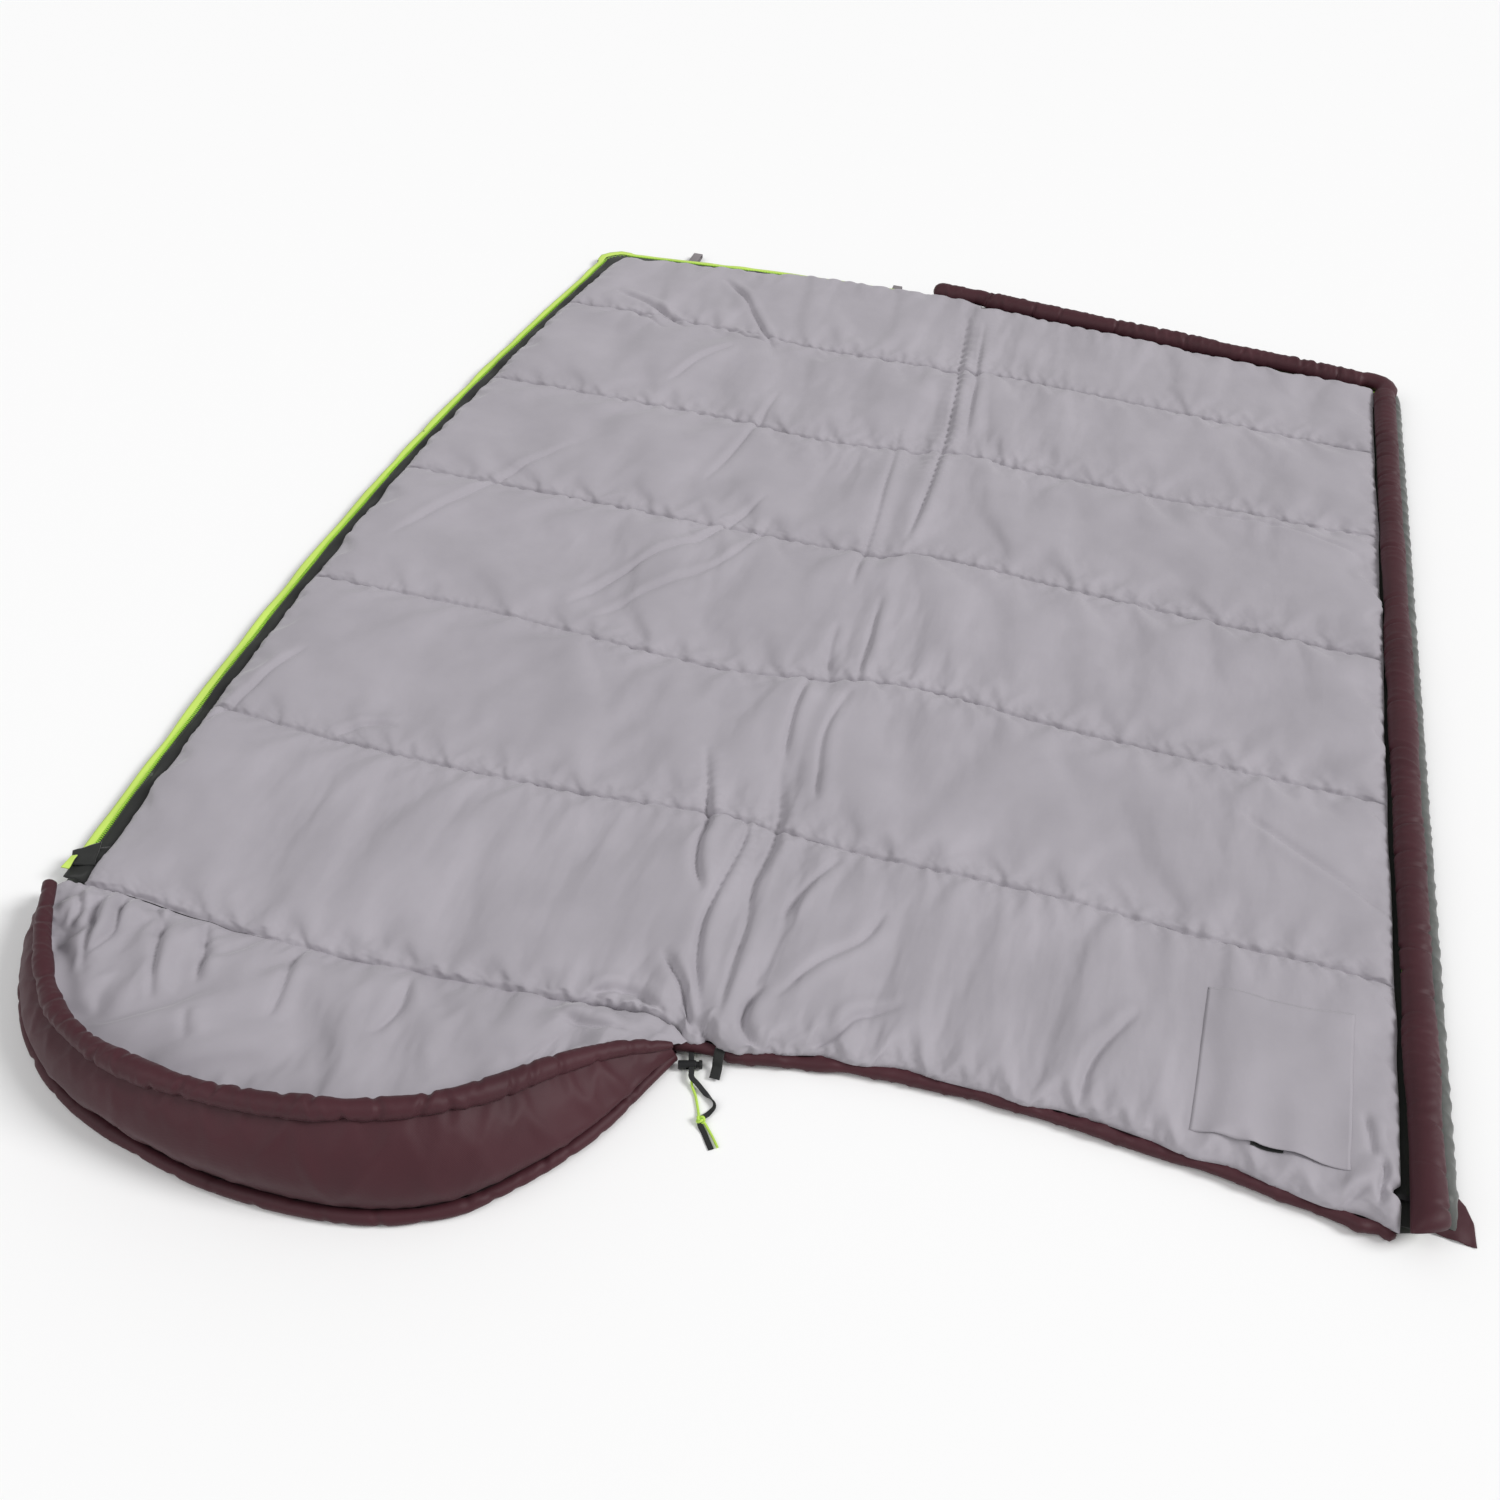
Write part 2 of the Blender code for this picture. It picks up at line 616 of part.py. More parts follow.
def hood_floor():
    hem, rim = hood_lines(22)
    shell = offset_line(hem, HEM_RADIUS + CLEAR)
    shell[0].y = shell[-1].y = NECK_Y - FOLD_GAP
    pad = [p for p in offset_line(hem, WALL_THICKNESS + HOOD_PAD_INSET) if p.y < NECK_Y - SEAM_GAP - 0.004]
    neck = NECK_Y - SEAM_GAP
    pad = [Vector((pad[0].x, neck)), *pad, Vector((pad[-1].x, neck))]
    quilted_pad("hood_floor", pad, shell, MAROON)


def wall_sheet(name, depth, thickness, look):
    """One layer of the hood's wall: an open sheet from hem to rim, depth under the outer face."""
    mesh = bpy.data.meshes.new(name)
    bm = bmesh.new()
    bmesh.ops.create_grid(bm, x_segments=WALL_STEPS - 1, y_segments=WALL_ROWS - 1, size=1)
    hem, rim = (line[1:WALL_STEPS + 1] for line in hood_lines(WALL_STEPS + WALL_LOW_STEPS))
    hem_flat = offset_line(hem, HEM_RADIUS + CLEAR)
    outward = [(a - b).normalized() for a, b in zip(offset_line(hem, -1), offset_line(hem, 0))]
    for vertex in bm.verts:
        column = round((vertex.co.x + 1) / 2 * (WALL_STEPS - 1))
        share = (vertex.co.y + 1) / 2
        low = Vector((*hem_flat[column], WALL_START_Z))
        out = outward[column].to_3d()
        high = rim[column] - Vector((0, 0, RIM_RADIUS + WALL_RIM_GAP))
        rise = min((high.z - low.z) / WALL_FULL_HEIGHT, 1)
        high += out * (WALL_THICKNESS / 2 * rise)
        bulge = WALL_BULGE * rise * math.sin(math.pi * share)
        vertex.co = low.lerp(high, share) + out * bulge
    bm.normal_update()
    inside = sum((v.normal.to_2d().dot(outward[0].lerp(outward[-1], 0.5)) for v in bm.verts)) < 0
    if inside:
        bmesh.ops.reverse_faces(bm, faces=bm.faces)
        bm.normal_update()
    moved = {v: v.co - v.normal * depth for v in bm.verts}
    for vertex, place in moved.items():
        vertex.co = place
    bm.to_mesh(mesh)
    bm.free()
    item = link(name, mesh, look)
    solidify = item.modifiers.new("fabric", "SOLIDIFY")
    solidify.thickness = thickness
    solidify.offset = -1
    return item


def hood():
    hood_floor()
    filling = WALL_THICKNESS - 2 * FABRIC - 2 * WALL_CLEAR
    wall_sheet("hood_wall_shell", 0.0, FABRIC, MAROON)
    wall_sheet("hood_wall_filling", FABRIC + WALL_CLEAR, filling, WADDING)
    wall_sheet("hood_wall_lining", WALL_THICKNESS - FABRIC, FABRIC, GREY)
    hem, rim = hood_lines(40)
    pipe("hood_rim", rim, RIM_RADIUS, MAROON, sides=2, wall=RIM_WALL)
    pipe("hood_drawcord", rim[1:-1], DRAWCORD_RADIUS, BLACK_CORD, sides=0)
    pipe("hood_hem", hem, HEM_RADIUS, MAROON, sides=1)


# ---------------------------------------------------------------- cord lock and cords

def turned(x, y=0.0, z=0.0):
    """A point given in the lock's own axes: x along its barrel, -y the way the cords leave it."""
    place = Vector((x, y, z))
    place.rotate(Euler((0, 0, LOCK_TURN)))
    return LOCK_CENTRE + place


def cord_lock():
    """A barrel across the cords, a sprung plunger in its bore, and a slot through both.

    It is drawn in its own axes, with the barrel along X, and turned with the empty on its path.
    """
    reach = LOCK_RADIUS + 0.002
    barrel = cylinder("cord_lock_barrel", (LOCK_LEFT, 0, 0), (LOCK_RIGHT, 0, 0), LOCK_RADIUS, BLACK_PLASTIC,
                      rounding=LOCK_ROUNDING)
    bore = cylinder("bore", (BORE_END, 0, 0), (LOCK_RIGHT + 0.002, 0, 0), BORE_RADIUS, BLACK_PLASTIC)
    slot = box("barrel_slot", (SLOT_LEFT, -reach, -SLOT_HALF_HEIGHT), (SLOT_RIGHT, reach, SLOT_HALF_HEIGHT),
               BLACK_PLASTIC)
    boolean(barrel, bore, "DIFFERENCE")
    boolean(barrel, slot, "DIFFERENCE")
    head_start = LOCK_RIGHT + BUTTON_TRAVEL + 0.0002
    button = cylinder("cord_lock_button", (head_start, 0, 0), (BUTTON_END, 0, 0), LOCK_RADIUS, BLACK_PLASTIC,
                      rounding=LOCK_ROUNDING)
    stem = cylinder("stem", (STEM_START, 0, 0), (head_start + 0.001, 0, 0), STEM_RADIUS, BLACK_PLASTIC)
    through = box("stem_slot", (SLOT_LEFT + BUTTON_TRAVEL, -reach, -SLOT_HALF_HEIGHT),
                  (SLOT_RIGHT + BUTTON_TRAVEL, reach, SLOT_HALF_HEIGHT), BLACK_PLASTIC)
    boolean(button, stem, "UNION")
    boolean(button, through, "DIFFERENCE")
    spring = lock_spring()
    carrier = pivot("cord_lock_path", LOCK_CENTRE)
    press = pivot("cord_lock_button_path", (0, 0, 0))
    press.parent = carrier
    for item in (barrel, bore, slot, spring):
        item.parent = carrier
    for item in (button, stem, through):
        item.parent = press
    carrier.rotation_euler.z = LOCK_TURN


def lock_spring():
    """The coil between the bore's end and the plunger."""
    turns, steps = 4, 10
    start = BORE_END + CLEAR + SPRING_WIRE
    length = STEM_START - CLEAR - SPRING_WIRE - start
    coil = []
    for i in range(turns * steps + 1):
        angle = 2 * math.pi * i / steps
        coil.append((start + length * i / (turns * steps), SPRING_RADIUS * math.cos(angle),
                     SPRING_RADIUS * math.sin(angle)))
    return pipe("cord_lock_spring", coil, SPRING_WIRE, STEEL, sides=0)


def cord_route(route, height):
    """A cord's points: straight through the lock, then along the floor."""
    first = turned(CORD_LANE, -STRAIGHT_START)
    last = turned(CORD_LANE, -STRAIGHT_END)
    steps = 4
    straight = [first.lerp(last, i / steps) for i in range(steps + 1)]
    return [*[(p.x, p.y, height) for p in straight], *route]


def ribbon(name, route, count, look):
    """A flat cord: a curve whose section is wide and thin."""
    curve = bpy.data.curves.new(name, "CURVE")
    curve.dimensions = "3D"
    curve.twist_mode = "Z_UP"
    spline = curve.splines.new("POLY")
    points = smooth_line(route, count)
    spline.points.add(count - 1)
    for target, point in zip(spline.points, points):
        target.co = (*point, 1)
        target.tilt = math.pi / 2
    curve.bevel_depth = FLAT_CORD_THICKNESS / 2
    curve.bevel_resolution = 1
    curve.extrude = (FLAT_CORD_WIDTH - FLAT_CORD_THICKNESS) / 2
    curve.use_fill_caps = True
    return as_mesh(link(name, curve, look))


def cords():
    ribbon("flat_cord", cord_route(FLAT_CORD_ROUTE, FLAT_CORD_Z), 36, BLACK_CORD)
    round_line = smooth_line(cord_route(ROUND_CORD_ROUTE, ROUND_CORD_Z), 32)
    pipe("round_cord", round_line, ROUND_CORD_RADIUS, LIME_CORD)
    knot_mesh = bpy.data.meshes.new("cord_knot")
    bm = bmesh.new()
    bmesh.ops.create_uvsphere(bm, u_segments=16, v_segments=10, radius=KNOT_RADIUS)
    bmesh.ops.translate(bm, verts=bm.verts, vec=KNOT_CENTRE)
    bm.to_mesh(knot_mesh)
    bm.free()
    link("cord_knot", knot_mesh, LIME_CORD)
    pipe("flat_cord_tail", smooth_line(FLAT_TAIL_ROUTE, 12), FLAT_CORD_THICKNESS / 2 + 0.0003, BLACK_CORD)
    pipe("round_cord_tail", smooth_line(ROUND_TAIL_ROUTE, 12), ROUND_CORD_RADIUS, LIME_CORD)


# ---------------------------------------------------------------- trim

def trim():
    head = offset_line(upper_head(), -HEAD_HEM_RADIUS - CLEAR)
    hem = [(p.x, p.y, HEAD_HEM_RADIUS + 0.001) for p in head]
    hem[0] = (HEM_START_X, *hem[0][1:])
    pipe("head_hem", hem, HEAD_HEM_RADIUS, MAROON, sides=1)
    hem_edge = HEAD - 2 * HEAD_HEM_RADIUS - 2 * CLEAR
    box("hanging_tab", (TAB_LEFT, TAB_END, TAB_LOW), (TAB_RIGHT, hem_edge, TAB_HIGH), BLACK_TAPE)
    foot = UNDER_FOOT[1][1] + SHELL_MARGIN
    for side, x in zip(("left", "right"), LOOP_X):
        webbing_loop(f"foot_loop_{side}", x, foot)
    prism("zip_garage", GARAGE_OUTLINE, GARAGE_Z, GARAGE_Z + GARAGE_THICKNESS, BLACK_TAPE)
    prism("lime_end_tab", LIME_TAB_OUTLINE, GARAGE_Z, GARAGE_Z + LIME_TAB_THICKNESS, LIME)
    pocket()
    flap = prism("corner_flap", FLAP_CORNERS, FLAP_LOW, FLAP_HIGH, MAROON)
    parent_to(flap, pivot("corner_flap_hinge", FLAP_HINGE))


def webbing_loop(name, x, foot):
    """A folded strip of webbing: a flat loop standing out from the foot edge, open along X."""
    outline = []
    centre = foot + CLEAR + LOOP_REACH - LOOP_HALF_HEIGHT
    for sign, radius in ((1, LOOP_HALF_HEIGHT), (-1, LOOP_HALF_HEIGHT - LOOP_WALL)):
        arc = [Vector((centre + radius * math.cos(a), radius * math.sin(a)))
               for a in [math.pi / 2 - math.pi * i / 8 for i in range(9)]]
        ends = [Vector((foot + CLEAR, radius)), *arc, Vector((foot + CLEAR, -radius))]
        outline.extend(ends[::sign])
    mesh = bpy.data.meshes.new(name)
    bm = bmesh.new()
    face = bm.faces.new([bm.verts.new((x - LOOP_WIDTH / 2, p.x, LOOP_Z + p.y)) for p in outline])
    lift = bmesh.ops.extrude_face_region(bm, geom=[face])
    moved = [v for v in lift["geom"] if isinstance(v, bmesh.types.BMVert)]
    bmesh.ops.translate(bm, verts=moved, vec=(LOOP_WIDTH, 0, 0))
    bmesh.ops.recalc_face_normals(bm, faces=bm.faces)
    bm.to_mesh(mesh)
    bm.free()
    return link(name, mesh, GREY_WEBBING)


def pocket():
    """A patch pocket on the lining, sewn on three sides and open towards the head."""
    low, high = PAD_HEIGHT + CLEAR, PAD_HEIGHT + CLEAR + POCKET_SLOT + FABRIC
    panel = box("inside_pocket", (POCKET_LEFT, POCKET_MOUTH, low), (POCKET_RIGHT, POCKET_TOP, high), GREY)
    room = box("pocket_room", (POCKET_LEFT + POCKET_SEAM, POCKET_MOUTH - 0.01, low - 0.01),
               (POCKET_RIGHT - POCKET_SEAM, POCKET_TOP - POCKET_SEAM, low + POCKET_SLOT), GREY)
    boolean(panel, room, "DIFFERENCE")
    middle = (POCKET_LEFT + POCKET_RIGHT) / 2
    start = POCKET_MOUTH + 0.001
    box("pocket_closure", (middle - CLOSURE_LENGTH / 2, start, low),
        (middle + CLOSURE_LENGTH / 2, start + CLOSURE_DEPTH, low + CLOSURE_THICKNESS), BLACK_TAPE)


under_half()
upper_half()
zips()
zip_ends()
sliders()
draught_tube()
hood()
cord_lock()
cords()
trim()
hang_on(pivot("fold_axis", (0, 0, FOLD_HEIGHT)), UPPER_BODY)
hang_on(pivot("neck_axis", (NECK_X, NECK_Y, NECK_HEIGHT)), ("hood_",))
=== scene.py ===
import json
import math

import bmesh
import bpy
import numpy as np
from mathutils import Matrix, Vector
from mathutils.bvhtree import BVHTree


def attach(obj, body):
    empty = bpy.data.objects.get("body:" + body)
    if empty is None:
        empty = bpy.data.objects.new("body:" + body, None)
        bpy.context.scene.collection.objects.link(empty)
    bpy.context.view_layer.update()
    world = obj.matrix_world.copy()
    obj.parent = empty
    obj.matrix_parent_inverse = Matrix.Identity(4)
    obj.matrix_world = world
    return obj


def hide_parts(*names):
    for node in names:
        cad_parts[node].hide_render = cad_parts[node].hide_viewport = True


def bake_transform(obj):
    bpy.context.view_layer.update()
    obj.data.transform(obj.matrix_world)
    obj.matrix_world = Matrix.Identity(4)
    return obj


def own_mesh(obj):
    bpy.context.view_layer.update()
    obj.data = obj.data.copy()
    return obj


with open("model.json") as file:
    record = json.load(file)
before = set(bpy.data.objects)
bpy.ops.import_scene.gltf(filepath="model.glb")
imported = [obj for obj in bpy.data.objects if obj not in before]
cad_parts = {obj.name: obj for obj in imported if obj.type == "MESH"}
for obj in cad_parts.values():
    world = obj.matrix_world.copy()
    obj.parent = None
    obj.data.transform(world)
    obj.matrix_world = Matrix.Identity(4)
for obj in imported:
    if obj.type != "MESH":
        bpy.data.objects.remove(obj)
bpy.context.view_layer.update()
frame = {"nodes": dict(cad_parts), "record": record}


def metres(points):
    """Points that are written in millimetres."""
    return [tuple(value / 1000 for value in point) for point in points]


# Places of the CAD model, repeated here
HEAD, NECK_Y = -0.985, -0.99
UNDER_SIDE_X, UNDER_SIDE_BOW, UPPER_SIDE_X = -0.76, 0.05, 0.745
UNDER_CORNER_Y = 0.925
UNDER_FOOT = [(0, 0.958), (-0.1, 0.962), (-0.43, 0.955), (UNDER_SIDE_X, UNDER_CORNER_Y)]
UPPER_HEAD = [(0, HEAD), (0.18, HEAD + 0.035), (0.32, HEAD + 0.04), (0.51, HEAD + 0.028),
              (0.62, HEAD + 0.015), (UPPER_SIDE_X, HEAD - 0.003)]
UPPER_FOOT = [(0, 0.946), (UPPER_SIDE_X, 0.858)]
HEM_LINE = metres([(-800, -1000), (-767, -1095), (-726, -1159), (-678, -1209), (-600, -1256),
                   (-463, -1293), (-350, -1300), (-250, -1288), (-170, -1253), (-110, -1190),
                   (-63, -1116), (-18, -1004)])
RIM_LINE = metres([(-781, -1016, 45), (-733, -1093, 60), (-672, -1168, 70), (-610, -1214, 83),
                   (-532, -1245, 97), (-427, -1258, 107), (-323, -1249, 112), (-232, -1219, 110),
                   (-168, -1170, 98), (-114, -1096, 72), (-70, -1044, 50), (-22, -1006, 30)])
LOCK_CENTRE, LOCK_TURN, CORD_LANE = Vector((0.002, -1.0065, 0.006)), math.radians(18), 0.0019
STRAIGHT_START, STRAIGHT_END = -0.0165, 0.018
FLAT_CORD_Z, ROUND_CORD_Z = 0.0078, 0.0053
FLAT_CORD_WIDTH, FLAT_CORD_THICKNESS, ROUND_CORD_DIAMETER = 0.0064, 0.0012, 0.0028
FLAT_CORD_ROUTE = metres([(17.5, -1028.5, 6.6), (30, -1036.2, 2.6), (39.5, -1043, 3.6),
                          (43.3, -1050.5, 3.6), (40, -1059, 2.2), (36.6, -1065.5, 3.6)])
ROUND_CORD_ROUTE = metres([(12.5, -1031, 3.4), (19, -1040, 1.8), (24, -1050, 1.8), (28, -1058.5, 1.8),
                           (31.2, -1066.4, 3)])
KNOT_CENTRE = (0.0345, -1.0712, 0.0048)
FLAT_TAIL_ROUTE = metres([(36, -1076.5, 2.6), (42, -1083, 1), (49, -1092.5, 1), (55.5, -1101, 1)])
ROUND_TAIL_ROUTE = [(0.0395, -1.0728, 0.003), (0.046, -1.079, 0.0018), (0.054, -1.088, 0.0018),
                    (0.0612, -1.097, 0.0018)]

# Quilt seams across the bag as it lies, from the under half's side to the upper half's: x, y
SEAMS = [metres(line) for line in (
    [(-830, -640), (-550, -657), (-270, -653), (-66, -633), (100, -645), (348, -643), (530, -654),
     (670, -656), (770, -666)],
    [(-830, -325), (-500, -322), (-235, -341), (-108, -339), (103, -298), (321, -319), (589, -331),
     (770, -337)],
    [(-830, 9), (-520, 9), (-280, 8), (-20, 10), (80, 36), (350, 15), (700, -8), (770, -15)],
    [(-830, 346), (-387, 346), (-151, 329), (75, 364), (232, 344), (770, 335)],
    [(-830, 680), (-444, 678), (-210, 659), (17, 663), (143, 669), (770, 615)],
)]
PULLER_Y = -0.955
NECK_LINE = metres([(-820, -985), (-720, -985), (-600, -994), (-470, -996), (-330, -990), (-160, -976),
                    (-70, -968), (-30, -973), (-5, -986), (30, -986)])
# Heights of the lining: in its seams, on its channels, at its edges and beside the right zip
SEAM_Z, PAD_Z, EDGE_Z, ZIP_SIDE_Z = 0.0255, 0.031, 0.0155, 0.0232

# Long creases of the lining in millimetres: depth and a line of x, y, most of them drawn to the cord lock
CREASES = [
    (8, [(-130, -517), (-88, -646), (-84, -696), (-74, -742), (-54, -785)]),
    (7, [(-47, -609), (-33, -672), (-39, -797), (-35, -850), (-19, -905), (12, -975)]),
    (6, [(-23, -528), (4, -648), (1, -739), (11, -810), (13, -879), (17, -958)]),
    (6, [(-36, -307), (-33, -432), (-24, -518)]),
    (4, [(27, -345), (14, -440), (28, -537), (37, -581)]),
    (5, [(90, -665), (61, -735), (44, -787)]),
    (5, [(164, -738), (147, -795), (106, -846), (69, -911)]),
    (7, [(58, -888), (45, -927), (53, -955), (76, -972)]),
    (8, [(-72, -883), (-39, -915), (-20, -945), (0, -972)]),
    (6, [(-130, -960), (-90, -945), (-40, -962)]),
    (5, [(20, -107), (27, -223), (31, -318)]),
    (4, [(-26, -190), (-23, -253), (-9, -322)]),
    (7, [(-20, 907), (9, 629), (28, 403), (30, 196), (26, 53)]),
    (5, [(-56, 409), (-39, 204), (-30, -11), (-29, -97)]),
    (5, [(19, 875), (47, 562), (59, 414)]),
    (6, [(118, -962), (148, -935), (167, -903), (215, -876)]),
    (7, [(731, -919), (734, -946), (729, -980)]),
    (5, [(660, -1000), (696, -982), (721, -955)]),
    (4.5, [(713, -868), (719, -897), (722, -922)]),
    (7, [(-100, -985), (-67, -978), (-37, -976)]),
    (7, [(-5, -953), (8, -968), (14, -985)]),
    (5, [(-790, -690), (-760, -640), (-742, -560), (-720, -500)]),
    (4.5, [(-610, -655), (-570, -620), (-530, -610)]),
    (4.5, [(-740, -200), (-690, -80), (-640, 30), (-560, 170)]),
    (5.5, [(-420, -280), (-360, -160), (-270, -20), (-215, 110)]),
    (4.5, [(-380, -300), (-290, -180), (-220, -80), (-190, 50)]),
    (4, [(-330, 120), (-300, 300), (-290, 470)]),
    (7, [(-705, 751), (-623, 719), (-524, 647)]),
    (5, [(-702, 652), (-640, 675), (-558, 622)]),
    (7, [(-520, 881), (-455, 809), (-394, 708), (-346, 627)]),
    (6, [(-461, 683), (-423, 662), (-364, 637)]),
    (4.5, [(-489, 425), (-459, 522), (-414, 595)]),
    (4, [(760, -560), (660, -500), (560, -420)]),
    (4, [(740, 250), (620, 300), (480, 310)]),
    (5, [(420, -945), (430, -880), (470, -800)]),
]
# Long creases of the hood's lining, in the same way
HOOD_CREASES = [
    (7, [(-663, -990), (-647, -1005), (-628, -1029), (-608, -1075), (-586, -1123)]),
    (7, [(-590, -998), (-582, -1014), (-564, -1047), (-550, -1089)]),
    (8, [(-703, -990), (-690, -1015), (-677, -1050), (-679, -1075), (-684, -1093)]),
    (9, [(-724, -996), (-718, -1024), (-701, -1053), (-692, -1084), (-668, -1127)]),
    (6, [(-754, -1000), (-735, -1030), (-732, -1058)]),
    (5, [(-536, -1129), (-517, -1166)]),
    (5, [(-470, -1000), (-455, -1060), (-450, -1110)]),
    (5, [(-330, -1000), (-320, -1050), (-335, -1100)]),
    (7, [(-150, -1010), (-105, -1012), (-64, -1004)]),
]
# Distances outwards from the under half's edge: its zip's tape, coil and lime binding, and its shell
TAPE_SPAN, COIL_OUT, LIME_SPAN, SHELL_OUT = (-0.006, 0.026), 0.027, (0.029, 0.0405), 0.0425
# The draught tube: its middle's distance outwards from the upper half's edge, its height and its half sizes
TUBE_OUT, TUBE_Z, TUBE_HALF_WIDTH, TUBE_HALF_HEIGHT = 0.035, 0.0305, 0.0188, 0.0155
HEAD_HEM_HALF_WIDTH, HEAD_HEM_HALF_HEIGHT, RIM_RADIUS, PIPED_HEM_RADIUS = 0.0074, 0.007, 0.0122, 0.0085
# How far the lining reaches over the halves' edges
SIDE_OVER, RIGHT_OVER, FOOT_OVER, HEAD_OVER = 0.007, 0.01, 0.014, 0.0055
# Steps of the points along the halves' edges, the draught tube and the hood's tubes
EDGE_STEP, TUBE_STEP, HOOD_STEP = 0.005, 0.0025, 0.002


# ---- camera

def new_object(name, data):
    item = bpy.data.objects.new(name, data)
    bpy.context.scene.collection.objects.link(item)
    return item


def look_from(place, lens, right, up):
    camera = new_object("camera", bpy.data.cameras.new("camera"))
    camera.data.lens = lens
    right = Vector(right).normalized()
    back = right.cross(Vector(up)).normalized()
    up = back.cross(right)
    camera.matrix_world = Matrix.Translation(place) @ Matrix((right, up, back)).transposed().to_4x4()
    camera.data.clip_start, camera.data.clip_end = 0.05, 30
    bpy.context.scene.camera = camera


look_from((0.3, -2.027, 1.395), 37.34, (0.9612, 0.2728, 0.042), (-0.2099, 0.6238, 0.7529))


# ---- materials

def new_material(name, colour, roughness, sheen=0.0, metallic=0.0):
    material = bpy.data.materials.new(name)
    material.use_nodes = True
    nodes, links = material.node_tree.nodes, material.node_tree.links
    shader = nodes["Principled BSDF"]
    shader.inputs["Base Color"].default_value = (*colour, 1)
    shader.inputs["Roughness"].default_value = roughness
    shader.inputs["Metallic"].default_value = metallic
    shader.inputs["Specular IOR Level"].default_value = 0.5 if metallic else 0.3
    shader.inputs["Sheen Weight"].default_value = sheen
    shader.inputs["Sheen Roughness"].default_value = 0.4
    return material, nodes, links, shader


def add_node(nodes, kind, **values):
    node = nodes.new("ShaderNode" + kind)
    for name, value in values.items():
        node.inputs[name].default_value = value
    return node


def noise(nodes, links, place, scale, detail=2.0, distortion=0.0, kind="FBM"):
    texture = add_node(nodes, "TexNoise", Scale=scale, Detail=detail, Distortion=distortion)
    texture.noise_type = kind
    links.new(place, texture.inputs["Vector"])
    return texture.outputs["Fac"]


def mottle(nodes, links, shader, factor, dark, light):
    ramp = nodes.new("ShaderNodeValToRGB")
    ramp.color_ramp.elements[0].position = 0.3
    ramp.color_ramp.elements[0].color = (*dark, 1)
    ramp.color_ramp.elements[1].position = 0.7
    ramp.color_ramp.elements[1].color = (*light, 1)
    links.new(factor, ramp.inputs["Fac"])
    links.new(ramp.outputs["Color"], shader.inputs["Base Color"])


def bumps(nodes, links, shader, *layers):
    """Bump layers, each (height socket, strength, distance), from the coarsest to the finest."""
    before = None
    for height, strength, distance in layers:
        bump = add_node(nodes, "Bump", Strength=strength, Distance=distance)
        links.new(height, bump.inputs["Height"])
        if before:
            links.new(before, bump.inputs["Normal"])
        before = bump.outputs["Normal"]
    links.new(before, shader.inputs["Normal"])


def weave(nodes, links, place, pitch, direction):
    wave = add_node(nodes, "TexWave", Scale=2 * math.pi / pitch / 20, Distortion=0.4)
    wave.bands_direction = direction
    links.new(place, wave.inputs["Vector"])
    return wave.outputs["Fac"]


def fabric(name, colour, roughness, spread=0.06, pitch=0.0012, crinkle=0.0006, crinkle_scale=45, sheen=0.25,
           wrinkle=0.0005):
    """Woven cloth: faint mottling, branching wrinkles of packed cloth, small crinkles and crossed threads."""
    material, nodes, links, shader = new_material(name, colour, roughness, sheen)
    place = nodes.new("ShaderNodeTexCoord").outputs["Object"]
    dark = [c * (1 - spread) for c in colour]
    light = [c * (1 + spread) for c in colour]
    mottle(nodes, links, shader, noise(nodes, links, place, 9, 5), dark, light)
    bumps(nodes, links, shader,
          (noise(nodes, links, place, 7, 3, 0.6, "RIDGED_MULTIFRACTAL"), 0.5, wrinkle),
          (noise(nodes, links, place, crinkle_scale, 3), 0.5, crinkle),
          (weave(nodes, links, place, pitch, "X"), 0.25, pitch / 8),
          (weave(nodes, links, place, pitch, "Y"), 0.25, pitch / 8))
    return material


def hard(name, colour, roughness, metallic=0.0):
    """Moulded plastic or wire with a faint grain."""
    material, nodes, links, shader = new_material(name, colour, roughness, metallic=metallic)
    place = nodes.new("ShaderNodeTexCoord").outputs["Object"]
    mottle(nodes, links, shader, noise(nodes, links, place, 300), [c * 0.9 for c in colour],
           [min(c * 1.1, 1) for c in colour])
    bumps(nodes, links, shader, (noise(nodes, links, place, 900), 0.2, 0.0001))
    return material


LOOKS = {
    "lining_fabric": fabric("lining_cloth", (0.368, 0.346, 0.38), 0.72, crinkle=0.001, crinkle_scale=30,
                            wrinkle=0.004),
    "maroon_fabric": fabric("maroon_cloth", (0.056, 0.014, 0.02), 0.58, spread=0.12, crinkle=0.0012,
                            sheen=0.04, wrinkle=0.002),
    "shell_fabric": fabric("shell_cloth", (0.088, 0.093, 0.087), 0.46, spread=0.1, crinkle=0.0015, sheen=0.2),
    "wadding": fabric("wadding_fibre", (0.8, 0.8, 0.79), 0.95, crinkle=0.002, crinkle_scale=200),
    "zip_tape": fabric("tape_cloth", (0.02, 0.021, 0.02), 0.78, spread=0.2, pitch=0.0018),
    "lime_coil": fabric("lime_tape", (0.42, 0.78, 0.06), 0.5, spread=0.08, pitch=0.0018, sheen=0.1),
    # paler, yellower copy of the lime cloth: a painted highlight laid over the lime's own colour
    "lime_painted_highlight": fabric("lime_highlight_paint", (0.56, 0.76, 0.14), 0.55, spread=0.06, pitch=0.0018, sheen=0.1),
    "black_plastic": hard("black_moulding", (0.014, 0.014, 0.015), 0.35),
    "black_cord": fabric("black_braid", (0.018, 0.019, 0.019), 0.75, spread=0.2, pitch=0.0009),
    "lime_cord": fabric("lime_braid", (0.48, 0.72, 0.095), 0.7, spread=0.1, pitch=0.0009),
    "spring_steel": hard("spring_wire", (0.6, 0.6, 0.62), 0.3, metallic=1.0),
    "grey_webbing": fabric("grey_strap", (0.21, 0.19, 0.2), 0.8, spread=0.15, pitch=0.0018),
}


# ---- numpy helpers

